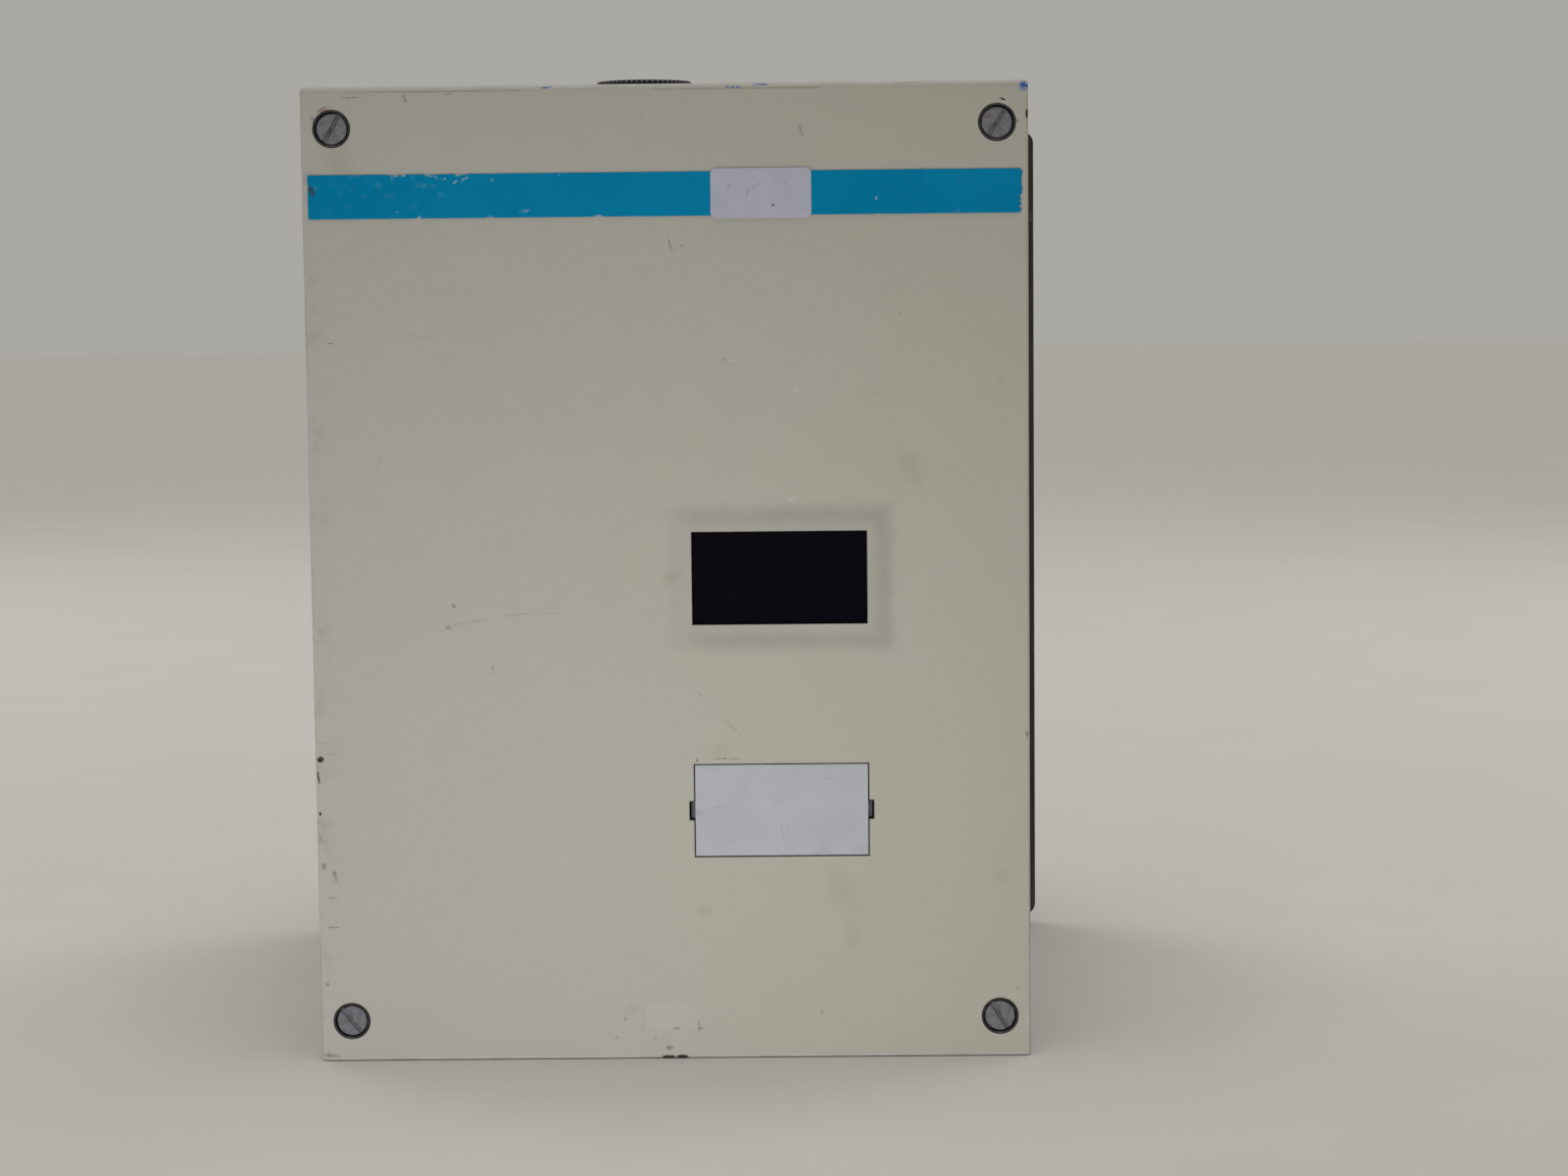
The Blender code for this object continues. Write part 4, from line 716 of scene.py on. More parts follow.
def turned(*profiles, segments=64):
    """Lathe shapes round Z: (radius, height) points, down the outside and up the inside.

    A radius may be a list with one value for each step round the shape.
    """
    shape = bmesh.new()
    for profile in profiles:
        rings = []
        for radius, height in profile:
            if radius == 0:
                rings.append([shape.verts.new((0, 0, height))])
                continue
            radii = radius if isinstance(radius, list) else [radius] * segments
            ring = []
            for step, reach in enumerate(radii):
                angle = step * math.tau / segments
                point = (reach * math.cos(angle), reach * math.sin(angle), height)
                ring.append(shape.verts.new(point))
            rings.append(ring)
        pairs = list(zip(rings, rings[1:]))
        if len(rings[0]) > 1 and len(rings[-1]) > 1:
            pairs.append((rings[-1], rings[0]))
        for above, below in pairs:
            for step in range(segments):
                after = (step + 1) % segments
                if len(above) == 1:
                    corners = (above[0], below[step], below[after])
                elif len(below) == 1:
                    corners = (above[step], below[0], above[after])
                else:
                    corners = (above[step], below[step], below[after], above[after])
                shape.faces.new(corners)
    bmesh.ops.recalc_face_normals(shape, faces=shape.faces)
    return shape


def quarter(x, y, radius, steps, first=1, last=None):
    """Points on a quarter circle from above its centre (x, y) to the right of it."""
    angles = [step / steps * math.pi / 2 for step in range(first, (last or steps) + 1)]
    return [(x + radius * math.sin(angle), y + radius * math.cos(angle)) for angle in angles]


def upright_plate(points, thickness, centre):
    """A plate of this outline in XZ round a centre, with its thickness in Y."""
    shape = bmesh.new()
    face = shape.faces.new([shape.verts.new((x, y, -thickness / 2)) for x, y in points])
    made = bmesh.ops.extrude_face_region(shape, geom=[face])["geom"]
    moved = [item for item in made if isinstance(item, bmesh.types.BMVert)]
    bmesh.ops.translate(shape, vec=(0, 0, thickness), verts=moved)
    bmesh.ops.recalc_face_normals(shape, faces=shape.faces)
    shape.transform(Matrix.Translation(centre) @ Euler(FACING).to_matrix().to_4x4())
    return shape


def rounded_rectangle(width, height, radius, steps=8):
    points = []
    for index, (sx, sy) in enumerate(((1, 1), (-1, 1), (-1, -1), (1, -1))):
        for step in range(steps + 1):
            angle = (index + step / steps) * math.pi / 2
            points.append((
                sx * (width / 2 - radius) + radius * math.cos(angle),
                sy * (height / 2 - radius) + radius * math.sin(angle),
            ))
    return points


def bevel_edges(shape, edges, width, segments):
    bmesh.ops.bevel(
        shape, geom=edges, offset=width, segments=segments, profile=0.5, affect="EDGES"
    )


def bent_sheet(path, axis, low, high):
    """A sheet folded along a path of points and running from low to high along the axis."""
    shape = bmesh.new()
    rows = []
    for end in (low, high):
        corners = [(a, b, end) if axis == "Z" else (end, a, b) for a, b in path]
        rows.append([shape.verts.new(corner) for corner in corners])
    for i in range(len(path) - 1):
        shape.faces.new((rows[0][i], rows[0][i + 1], rows[1][i + 1], rows[1][i]))
    folds = [edge for edge in shape.edges if len(edge.link_faces) == 2]
    bevel_edges(shape, folds, BEND, 6)
    obj = helper(shape)
    solidify = obj.modifiers.new("sheet", "SOLIDIFY")
    solidify.thickness = SHEET
    solidify.offset = -1
    solidify.use_even_offset = True
    return settled(obj)


# Front cover ----------------------------------------------------------------------------------
def make_cover(look):
    """The sheet tray with crisp folds, its cut-outs, and a slit at each folded corner."""
    shape = box_shape((COVER_LOW, COVER_HIGH))
    along_y = [edge for edge in shape.edges
               if abs((edge.verts[0].co - edge.verts[1].co).normalized().y) > 0.99]
    bevel_edges(shape, along_y, 1, 3)
    front = [edge for edge in shape.edges if all(vert.co.y < FRONT + 0.01 for vert in edge.verts)]
    bevel_edges(shape, front, 0.9, 4)
    inset, deep = Vector((SHEET, SHEET, SHEET)), Vector((0, 5, 0))
    hollow = box_shape((COVER_LOW + inset, COVER_HIGH - inset + deep))
    window = box_shape((WINDOW[0] - deep, WINDOW[1] + deep))

    hatch = middle_of("service_hatch")
    mouth, notches = [
        box_shape(((hatch.x - half_x, FRONT - deep.y, hatch.z - half_z),
                   (hatch.x + half_x, FRONT + deep.y, hatch.z + half_z)))
        for half_x, half_z in ((25.8, 13.9), (27.2, 2.9))
    ]
    places = [(at.x, at.z) for at in SCREWS.values()]
    holes = bars(5.5, in_depth(places, FRONT - deep.y, FRONT + deep.y), 48)
    slits = []
    for side in (COVER_LOW.x, COVER_HIGH.x):
        outward = math.copysign(1, side)
        left, right = sorted((side + outward, side - outward * SHEET))
        for end, inward in ((COVER_LOW.z, 1), (COVER_HIGH.z, -1)):
            near, far = sorted((end + inward * 1.6, end + inward * 1.85))
            slits.append(((left, FRONT + 3, near), (right, COVER_HIGH.y + 1, far)))
    mesh = carved(shape, (hollow, window, mouth, notches, holes), 0.2, last=[box_shape(*slits)])
    piece("cover_sheet", mesh, look, "cover", ["front_cover"], angle=35)


def make_band(look):
    """The foil stripe, with a torn right end and small bites out of its edges."""
    low, high = box("colour_band")
    rng = random.Random(11)
    bites_above = {-78.0: (3.0, 0.28), -66.5: (2.2, 0.22), -58.6: (2.0, 0.3), -49.8: (0.6, 0.2)}
    bites_below = {-70.9: (0.8, 0.3), -50.4: (1.2, 0.22), -19.3: (1.8, 0.16), 61.5: (1.0, 0.14)}

    def edge(z, sign, bites):
        points = []
        count = 150
        for i in range(count + 1):
            x = low.x + 0.3 + (high.x - low.x - 0.9) * i / count
            depth = 0.02 * rng.random()
            for centre, (reach, bite) in bites.items():
                away = abs(x - centre) / reach
                if away < 1:
                    depth += bite * (1 - away * away) * rng.uniform(0.6, 1.0)
            points.append((x, z - sign * depth))
        return points

    upper, lower = edge(high.z, 1, bites_above), edge(low.z, -1, bites_below)
    right, left = [], []
    steps = 26
    for i in range(1, steps):
        share = i / steps
        torn = 0.35 * rng.random() + (0.55 if share > 0.55 and i % 3 else 0)
        right.append((high.x - torn, high.z + (low.z - high.z) * share))
    for i in range(1, steps):
        left.append((low.x + 0.12 * rng.random(), low.z + (high.z - low.z) * i / steps))
    middle = (low + high) / 2
    outline = [(x - middle.x, z - middle.z) for x, z in upper + right + lower[::-1] + left]
    strip = upright_plate(outline, high.y - low.y, middle)
    piece("band_foil_strip", strip, look, "cover", ["colour_band"], angle=40)


def make_label(look):
    """A blank sticker with soft corners, a little proud of the cover."""
    low, high = box("blank_label")
    middle = (low + high) / 2
    thickness = 0.14
    outline = rounded_rectangle(high.x - low.x - 0.1, high.z - low.z - 0.1, 1.6, 10)
    centre = (middle.x, high.y - thickness / 2 + 0.04, middle.z)
    mesh = carved(upright_plate(outline, thickness, centre), width=0.04)
    piece("label_blank", mesh, look, "cover", ["blank_label"], angle=40)


def make_window(look, tape):
    """The smoked pane behind the cut-out and its foam frame."""
    mesh = carved(box_shape(box("window_filter")), width=0.35, segments=3)
    piece("window_pane", mesh, look, "cover", ["window_filter"])
    dress("window_tape", tape)


def make_hatch(look):
    """The blanking hatch with its rim, ribs behind it and a snap hook in each notch."""
    low, high = box("service_hatch")
    middle = (low + high) / 2

    def slab(x, z, front, rear):
        return ((middle.x - x, front, middle.z - z), (middle.x + x, rear, middle.z + z))

    rim = carved(box_shape(slab(24.45, 12.55, low.y + 1.1, high.y)),
                 [box_shape(slab(23.25, 11.35, low.y + 1.6, high.y + 1))])
    hook_front, hook_back, hook_z = FRONT + 2.1, FRONT + 3.7, 2.5
    hooks = carved(box_shape(
        ((low.x, hook_front, middle.z - hook_z), (middle.x - 24, hook_back, middle.z + hook_z)),
        ((middle.x + 24, hook_front, middle.z - hook_z), (high.x, hook_back, middle.z + hook_z)),
    ), width=0.25)
    ribs = box_shape(*[
        ((middle.x + x - 0.5, low.y + 1.3, middle.z - 12),
         (middle.x + x + 0.5, high.y - 1.4, middle.z + 12)) for x in (-12, 0, 12)
    ])
    mesh = carved(box_shape(slab(25.45, 13.55, low.y, low.y + 1.6)), width=0.22, segments=3,
                  joined=(rim, hooks, ribs))
    piece("hatch_plate", mesh, look, "hatch", ["service_hatch"], angle=30)


def make_screws(steel, cup_steel):
    """Captive slotted screws with rolled threads, each in a pressed cup."""
    radius, corner_radius, crown = 4.45, 0.45, 0.08
    pitch, major, minor = 0.8, 2.45, 2.05
    for corner, place in SCREWS.items():
        low, high = box("cover_screw_" + corner)
        at = (place.x, FRONT, place.z)
        front, seat, end = FRONT - low.y, -3.5, FRONT - high.y
        flat, curl = radius - corner_radius, front - crown - corner_radius
        profile = [(0, front), (radius * 0.45, front - 0.02), (flat, front - crown)]
        profile += quarter(flat, curl, corner_radius, 6, last=5)
        height = seat - 0.6
        profile += [(radius, curl), (radius, seat), (2.1, seat), (2.1, height)]
        while height - pitch > end + 0.5:
            profile += [(major, height - 0.3 * pitch), (major, height - 0.45 * pitch),
                        (minor, height - 0.75 * pitch), (minor, height - pitch)]
            height -= pitch
        profile += [(1.7, end), (0, end)]
        slot = box_shape(((-6, -0.65, front - 1.1), (6, 0.65, front + 1)))
        mesh = carved(turned(profile, segments=56), [slot], 0.07, angle=38)
        turn = Euler((math.pi / 2, math.radians(SLOT_TURNS[corner]), 0))
        piece("screw_" + corner, mesh, steel, "screw_" + corner,
              ["cover_screw_" + corner], at, turn)

        rim, bore, wall = 0.35, 4.85, 5.4
        middle, half = (bore + wall) / 2, (wall - bore) / 2
        cup = [(bore, -rim)]
        for step in range(9):
            angle = math.pi * step / 8
            cup.append((middle - half * math.cos(angle), -rim + rim * math.sin(angle)))
        cup += [
            (wall, -1.7), (6.2, -1.7), (6.2, -2.5), (wall, -2.5), (wall, -4.7),
            (wall - 0.5, -5.2), (2.7, -5.2), (2.7, -4.4), (bore - 0.3, -4.4), (bore, -4.1),
        ]
        piece("cup_" + corner, turned(cup), cup_steel, "cover",
              ["screw_cup_" + corner], at, FACING)


# Housing --------------------------------------------------------------------------------------
def slotted_head(radius, height, slot_depth, countersunk=False):
    """A slotted head that stands on z = 0, or whose flat top is at z = 0 if it is countersunk."""
    if countersunk:
        profile = [(0, 0), (radius - 0.1, 0), (radius, -0.1), (1.5, -1.7), (0, -1.7)]
    else:
        profile = [(radius * across, height * up) for across, up in (
            (0, 1), (0.45, 0.97), (0.78, 0.82), (0.94, 0.55), (1, 0.2), (1, 0), (0, 0),
        )]
    top = profile[0][1]
    slot = box_shape(((-2 * radius, -0.13 * radius, top - slot_depth),
                      (2 * radius, 0.13 * radius, top + 1)))
    return carved(turned(profile, segments=40), [slot], 0.05, angle=38)


def place_head(name, head, metal, at, turn, spin):
    """Fixes a slotted head to the housing, facing one way and spun about its own axis."""
    facing = Euler(turn).to_matrix() @ Euler((0, 0, spin)).to_matrix()
    piece(name, head, metal, "housing", at=at, turn=facing.to_euler())


def make_fasteners(metal):
    """The slotted screws that hold the walls, the top sheet and the rear plate together."""
    places = []
    for side, x, turn in (("left", box("side_wall_left")[0].x, -math.pi / 2),
                          ("right", box("side_wall_right")[1].x, math.pi / 2)):
        for depth, z in ((39, 72), (39, 240), (182, 60), (182, 240)):
            places.append(("wall_head_" + side, (x, FRONT + depth, z), (0, turn, 0)))
    top = box("top_plate")[1].z
    for x in (-95, 95):
        for depth in (30, 120, 188):
            places.append(("top_head", (x, FRONT + depth, top), (0, 0, 0)))
    for number, (name, at, turn) in enumerate(places):
        place_head(f"{name}_{number}", slotted_head(3, 1.7, 0.8), metal, at, turn, 1.1 * number)
    back = box("rear_mounting_plate")[1].y
    for number, (x, z) in enumerate(REAR_SCREWS):
        place_head(f"rear_head_{number}", slotted_head(3.1, 0, 0.7, True), metal,
                   (x, back - 0.25, z), (-math.pi / 2, 0, 0), 0.9 * number)


def sheet_piece(name, node, look, shape, cutters):
    """Cuts a folded sheet, softens its edges and makes it the piece for its CAD node."""
    mesh = carved(shape, cutters, 0.18)
    piece(name, mesh, look, "housing", [node], angle=25)


def make_walls(look):
    """The side walls, folded in at the front and the back, with vent slots and screw holes."""
    first_slot, slot_width, slot_pitch, slot_low, slot_high = FRONT + 48.5, 3, 7, 190, 230
    for name, side in (("left", -1), ("right", 1)):
        node = "side_wall_" + name
        low, high = box(node)
        outer = low.x if side < 0 else high.x
        inner = outer - side * FLANGE
        path = [(inner, low.y), (outer, low.y), (outer, high.y), (inner, high.y)]
        if side < 0:
            path.reverse()
        slots = []
        for number in range(9):
            y = first_slot + slot_pitch * number
            slots.append(((outer - 4, y, slot_low), (outer + 4, y + slot_width, slot_high)))
        places = [(at.x, at.z) for at in SCREWS.values() if at.x * side > 0]
        holes = bars(3.7, in_depth(places, FRONT, FRONT + 28))
        sheet_piece("wall_sheet_" + name, node, look, bent_sheet(path, "Z", low.z, high.z),
                    (box_shape(*slots), holes))


def make_flats(look):
    """The top and bottom sheets: each a long flat with a narrower flange at either end."""
    entry, fan = middle_of("cable_entry_body"), middle_of("fan_frame")
    grommets = [middle_of(f"cable_grommet_{i}") for i in (1, 2, 3)]
    top = box("top_plate")[1]
    flange_half, slot_half, entry_reach = top.x - 14.5, 2.5, 26
    columns = [14 * i - 84 for i in range(13)]
    beside_entry = [x for x in columns if abs(x - entry.x) > entry_reach]
    slots = [((x - slot_half, FRONT + near, top.z - 3), (x + slot_half, FRONT + far, top.z + 2))
             for xs, near, far in ((columns, 140, 184), (beside_entry, 52, 104)) for x in xs]
    for name, node, inward, slots_here, round_holes in (
        ("top_sheet", "top_plate", -1, slots, [(entry, 11.2)]),
        ("bottom_sheet", "bottom_plate", 1, [], [(at, 10) for at in grommets] + [(fan, 28)]),
    ):
        low, high = box(node)
        flat_z, past_fold = (high.z, low.z - 1) if inward < 0 else (low.z, high.z + 1)
        fold_z = flat_z + inward * FLANGE
        path = [(low.y, fold_z), (low.y, flat_z), (high.y, flat_z), (high.y, fold_z)]
        if inward < 0:
            path.reverse()
        # The flanges are narrower than the flat, so each corner is cut back to it.
        z0, z1 = sorted((flat_z + inward * 1.9, past_fold))
        corners = [
            ((x0, y0, z0), (x1, y1, z1))
            for x0, x1 in ((low.x - 1, -flange_half), (flange_half, high.x + 1))
            for y0, y1 in ((low.y - 1, low.y + 2.2), (high.y - 2.2, high.y + 1))
        ]
        cutters = [box_shape(*corners)]
        if slots_here:
            cutters.append(box_shape(*slots_here))
        for at, radius in round_holes:
            ends = [((at.x, at.y, flat_z - 5), (at.x, at.y, flat_z + 5))]
            cutters.append(bars(radius, ends, 56))
        sheet_piece(name, node, look, bent_sheet(path, "X", low.x, high.x), cutters)


def make_rear_plate(look):
    """The mounting plate with keyholes at the top, foot slots and countersunk screw holes."""
    low, high = box("rear_mounting_plate")
    outline = rounded_rectangle(high.x - low.x, high.z - low.z, 4)
    plate = upright_plate(outline, high.y - low.y, (low + high) / 2)
    columns, key_z, foot_z, slot_half = (-112, 112), 250, 22, 3
    front, back = low.y - 4, high.y + 4
    slots = [
        ((x - slot_half, front, bottom), (x + slot_half, back, top))
        for x in columns for bottom, top in ((key_z, key_z + 13), (foot_z - 6, foot_z + 6))
    ]
    heads = bars(5.5, in_depth([(x, key_z) for x in columns], front, back), 40)
    sinks = bars(3.7, in_depth(REAR_SCREWS, high.y + 0.3, high.y - 1.9), 40, 1.5)
    mesh = carved(plate, (heads, box_shape(*slots), sinks), 0.3)
    piece("rear_plate", mesh, look, "housing", ["rear_mounting_plate"], angle=25)


def make_entry(black, rubber):
    """The knurled clamping ring, its seal and the threaded sleeve that it turns on."""
    low, high = box("cable_entry_ring")
    half, chamfer, soft = (high.z - low.z) / 2, 0.7, 0.4
    outer, depth, hole = 15.3, 0.75, 11.3
    teeth, per_tooth = 56, 6

    def knurl(limit):
        """The radius at each step round the ring, kept within a limit."""
        radii = []
        for step in range(teeth * per_tooth):
            share = (step % per_tooth) / per_tooth
            rise = 0.5 + 0.5 * math.cos(math.tau * share)
            radii.append(min(outer - depth + depth * rise ** 0.7, limit))
        return radii

    ring = turned([
        (knurl(outer - chamfer), -half), (knurl(outer), chamfer - half),
        (knurl(outer), half - chamfer), (knurl(outer - chamfer), half),
        (hole + soft, half), (hole, half - soft), (hole, soft - half), (hole + soft, -half),
    ], segments=teeth * per_tooth)
    piece("knurled_ring", ring, black, "entry_ring",
          ["cable_entry_ring"], (low + high) / 2, angle=30)

    low, high = box("cable_entry_body")
    centre = ((low.x + high.x) / 2, (low.y + high.y) / 2, 0)
    bore, flange = 8, 15
    plate_top = box("top_plate")[1].z
    major, minor, pitch = 11, 10.35, 1.5
    height = high.z - 0.6
    profile = [(bore + 0.5, high.z), (major - 0.9, high.z), (minor, height)]
    while height - pitch > plate_top:
        profile += [(major, height - 0.4 * pitch), (major, height - 0.55 * pitch),
                    (minor, height - 0.95 * pitch)]
        height -= pitch
    under = plate_top - 1.8
    profile += [
        (major, plate_top - 0.1), (major, under), (flange - 0.4, under), (flange, under - 0.4),
        (flange, low.z + 0.5), (flange - 0.5, low.z), (bore + 0.5, low.z), (bore, low.z + 0.5),
        (bore, high.z - 0.5),
    ]
    piece("entry_sleeve", turned(profile, segments=72), black, "housing",
          ["cable_entry_body"], centre)

    low, high = box("cable_entry_seal")
    outer, soft = 14, 0.5
    ring = [(hole, low.z), (hole, high.z), (outer - soft, high.z), (outer, high.z - soft),
            (outer, low.z + soft), (outer - soft, low.z)]
    centre = ((low.x + high.x) / 2, (low.y + high.y) / 2, 0)
    piece("entry_seal_ring", turned(ring), rubber, "entry_seal",
          ["cable_entry_seal"], centre)


def make_grommets(rubber):
    """Rubber grommets with a round lip above the bottom sheet and a chamfered one below it."""
    lip, groove, bore, soft = 12, 9.8, 7, 0.8
    sheet_low, sheet_high = 1.8, 3.7
    for number in (1, 2, 3):
        node = f"cable_grommet_{number}"
        low, high = box(node)
        profile = [(bore + 0.5, high.z)]
        profile += quarter(lip - soft, high.z - soft, soft, 4, first=0)
        profile += [
            (lip, sheet_high), (groove, sheet_high), (groove, sheet_low), (lip, sheet_low),
            (lip, low.z + 0.7), (lip - 0.5, low.z + 0.1), (lip - 1.2, low.z),
            (bore + 0.4, low.z), (bore, low.z + 0.4), (bore, high.z - 0.5),
        ]
        centre = ((low.x + high.x) / 2, (low.y + high.y) / 2, 0)
        piece(f"grommet_{number}", turned(profile, segments=56), rubber, "housing",
              [node], centre)


def make_guard(zinc):
    """Round wire rings welded to a cross of wires."""
    low, high = box("fan_guard")
    wire, reach = (high.z - low.z) / 2, (high.x - low.x) / 2
    turns = [-part * math.tau / 12 for part in range(12)]
    shape = turned(*[
        [(radius + wire * math.cos(turn), wire * math.sin(turn)) for turn in turns]
        for radius in (13, 25)
    ], segments=72)
    for end in (Vector((reach, 0, 0)), Vector((0, reach, 0))):
        bar_into(shape, wire * 0.86, -end, end, 14)
    bmesh.ops.recalc_face_normals(shape, faces=shape.faces)
    piece("guard_wires", shape, zinc, "housing", ["fan_guard"], (low + high) / 2)


def make_board_parts(dark, metal):
    """Chips, resistors, capacitors, trimmers, relays and screws on the control board."""
    face = box("control_board")[0].y
    lead_pitch = 2.54
    chips, legs, notch_ends = [], [], []
    rows = [(-42, z, 51, 13.7) for z in (104, 126, 150)]
    rows += [(x, z, 19.3, 6.4) for x in (-62, -36, -10) for z in (176, 190)]
    rows += [(66, z, 16.8, 6.4) for z in (100, 116)]
    rows += [(x, z, 19.3, 6.4) for z in (172, 186) for x in (20, 46)]
    for x, z, length, width in rows:
        left = x - length / 2
        chips.append(((left, face - 4.3, z - width / 2),
                      (left + length, face - 0.6, z + width / 2)))
        notch_ends.append(((left, face - 5, z), (left, face - 3.7, z)))
        count = round(length / lead_pitch)
        for i in range(count):
            at = x + (i - (count - 1) / 2) * lead_pitch
            for edge in (z - width / 2, z + width / 2):
                legs.append(((at - 0.4, face - 2.6, edge - 0.45),
                             (at + 0.4, face + 0.1, edge + 0.45)))
    mesh = carved(box_shape(*chips), [bars(1.1, notch_ends, 20)], 0.2)
    piece("board_chips", mesh, dark, "housing")
    piece("board_chip_legs", box_shape(*legs), metal, "housing")

    resistors, wires = bmesh.new(), bmesh.new()
    rows = [(7 * i - 72, z) for i in range(9) for z in (82, 206)]
    rows += [(64 + 5 * i, z) for z in (134, 152) for i in range(3)]
    y = face - 1.5
    for x, z in rows:
        bar_into(resistors, 1.15, (x, y, z - 3.1), (x, y, z + 3.1), 20)
        bar_into(wires, 0.3, (x, y, z - 5.1), (x, y, z + 5.1), 10)
        for end in (z - 5.1, z + 5.1):
            bar_into(wires, 0.3, (x, y - 0.3, end), (x, face + 0.1, end), 10)
    mesh = carved(resistors, width=0.5, segments=3)
    piece("board_resistors", mesh, resistor_body(), "housing")
    piece("board_wires", wires, metal, "housing")

    cans, tops = bmesh.new(), bmesh.new()
    can_top = face - 9.5
    for x, z, radius in ((-8, 108, 4), (-8, 120, 4), (-8, 134, 5), (-8, 150, 5), (70, 178, 5),
                         (70, 194, 5), (-70, 222, 3.2), (4, 222, 3.2)):
        bar_into(cans, radius, (x, can_top, z), (x, face - 0.3, z), 40)
        bar_into(tops, radius * 0.86, (x, can_top - 0.05, z), (x, can_top + 0.5, z), 40)
    film = sleeve_film("small_sleeve", (0.02, 0.035, 0.11))
    mesh = carved(cans, width=0.4, segments=3)
    piece("board_cans", mesh, film, "housing")
    piece("board_can_tops", tops, metal, "housing")

    boxes = box_shape(*[((x, face - 5.2, 215), (x + 9.5, face - 0.4, 224.5))
                        for x in (-50, -36, -22)])
    trim_blue = moulded("trimmer_blue", (0.02, 0.09, 0.33), 0.4)
    piece("board_trimmers", carved(boxes, width=0.25), trim_blue, "housing")
    places = [(x, 219.75) for x in (-45.25, -31.25, -17.25)]
    adjusters = bars(1.7, in_depth(places, face - 5.6, face - 5), 28)
    piece("trimmer_screws", adjusters, metal, "housing")

    relays = box_shape(*[((x, face - 9.6, z), (x + 19, face - 0.4, z + 15))
                         for z in (96, 112) for x in (6, 30)])
    pale = moulded("relay_case", (0.42, 0.40, 0.34), 0.45)
    mesh = carved(relays, width=0.5, segments=3)
    piece("board_relays", mesh, pale, "housing")

    for number in (1, 2, 3, 4):
        spacer = middle_of(f"board_spacer_{number}")
        place_head(f"board_head_{number}", slotted_head(2.8, 1.9, 0.9), metal,
                   (spacer.x, face, spacer.z), FACING, 0.7 + number)


def make_display(dark):
    """A framed red filter with four seven-segment digits, all unlit."""
    low, high = box("display_module")
    front, edge = low.y, 1.3

    def inside(near, far):
        return box_shape(((low.x + edge, front + near, low.z + edge),
                          (high.x - edge, front + far, high.z - edge)))

    mesh = carved(box_shape((low, high)), [inside(-1, 1)], 0.2)
    piece("display_frame", mesh, dark, "housing", ["display_module"])
    lens = moulded("display_lens", (0.10, 0.006, 0.006), 0.18, specular=0.5)
    piece("display_lens", inside(0.4, 1.2), lens, "housing")
    middle_z, half, wide, thick = (low.z + high.z) / 2, 3.1, 3.2, 0.42
    segments = []
    for digit in range(4):
        x = low.x + 7.6 + 11.7 * digit
        for z in (middle_z - 2 * half, middle_z, middle_z + 2 * half):
            segments.append((x, z, wide - thick, thick))
        for side in (x - wide, x + wide):
            for z in (middle_z - half, middle_z + half):
                segments.append((side, z, thick, half - 0.5))
    shape = box_shape(*[
        ((x - across, front + 0.33, z - up), (x + across, front + 0.45, z + up))
        for x, z, across, up in segments
    ])
    unlit = moulded("unlit_segment", (0.19, 0.05, 0.045), 0.4)
    piece("display_digits", shape, unlit, "housing")


def make_terminals():
    """Two screw terminal blocks with a screw well and a wire mouth for each pole."""
    green = moulded("terminal_green", (0.04, 0.25, 0.10), 0.45)
    grey = moulded("terminal_grey", (0.33, 0.35, 0.34), 0.5)
    metal = worn_metal("terminal_screw", (0.5, 0.49, 0.46), (0.3, 0.29, 0.27), 0.32)
    for name, node, count, look, slot in (
        ("control", "control_terminal_strip", 14, green, "terminal_green"),
        ("power", "power_terminal_block", 7, grey, "terminal_grey"),
    ):
        low, high = box(node)
        front = low.y
        pitch = (high.x - low.x) / count
        radius, screw_z = pitch * 0.33, low.z + (high.z - low.z) * 0.62
        mouth_end = front + 1.6 + pitch * 0.7
        mouths, cuts, places = [], [], []
        for i in range(count):
            x = low.x + (i + 0.5) * pitch
            places.append((x, screw_z))
            mouths.append(((x - pitch * 0.3, front + 1.6, low.z - 1),
                           (x + pitch * 0.3, mouth_end, low.z + 2.5)))
            cuts.append(((x - radius, front + 1, screw_z - 0.12 * radius),
                         (x + radius, front + 2.1, screw_z + 0.12 * radius)))
            if i:
                between = low.x + i * pitch
                mouths.append(((between - 0.15, front - 1, low.z - 1),
                               (between + 0.15, front + 0.5, high.z + 1)))
        wells = bars(radius, in_depth(places, front - 1, front + 3.2), 28)
        mesh = carved(box_shape((low, high)), (wells, box_shape(*mouths)), 0.15)
        piece(name + "_terminals", mesh, look, "housing", [node])
        screws = bars(radius * 0.9, in_depth(places, front + 1.6, front + 3.4), 28)
        mesh = carved(screws, [box_shape(*cuts)])
        piece(name + "_terminal_screws", mesh, metal, "housing")


def dress(node, look):
    """Gives a CAD node that stays its material."""
    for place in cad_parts[node].material_slots:
        place.material = look


# Floor, camera and light ----------------------------------------------------------------------
def make_floor():
    """A plain pale floor that reaches far behind the box."""
    reach = 9.0
    shape = bmesh.new()
    bmesh.ops.create_circle(shape, cap_ends=True, segments=96, radius=reach)
    look = Look("floor_pale", (0.62, 0.60, 0.56), 0.85, specular=0.1)
    look.coat(look.cloud(60, 3, 0.3, 0.7, 0, 0.5), (0.60, 0.58, 0.54))
    mesh = mesh_of(shape, "floor")
    mesh.materials.append(look.finish())
    floor = bpy.data.objects.new("floor", mesh)
    floor.location = (0, 0, CAD_BOX[0].z - 0.1 * MM)
    bpy.context.scene.collection.objects.link(floor)
    return floor


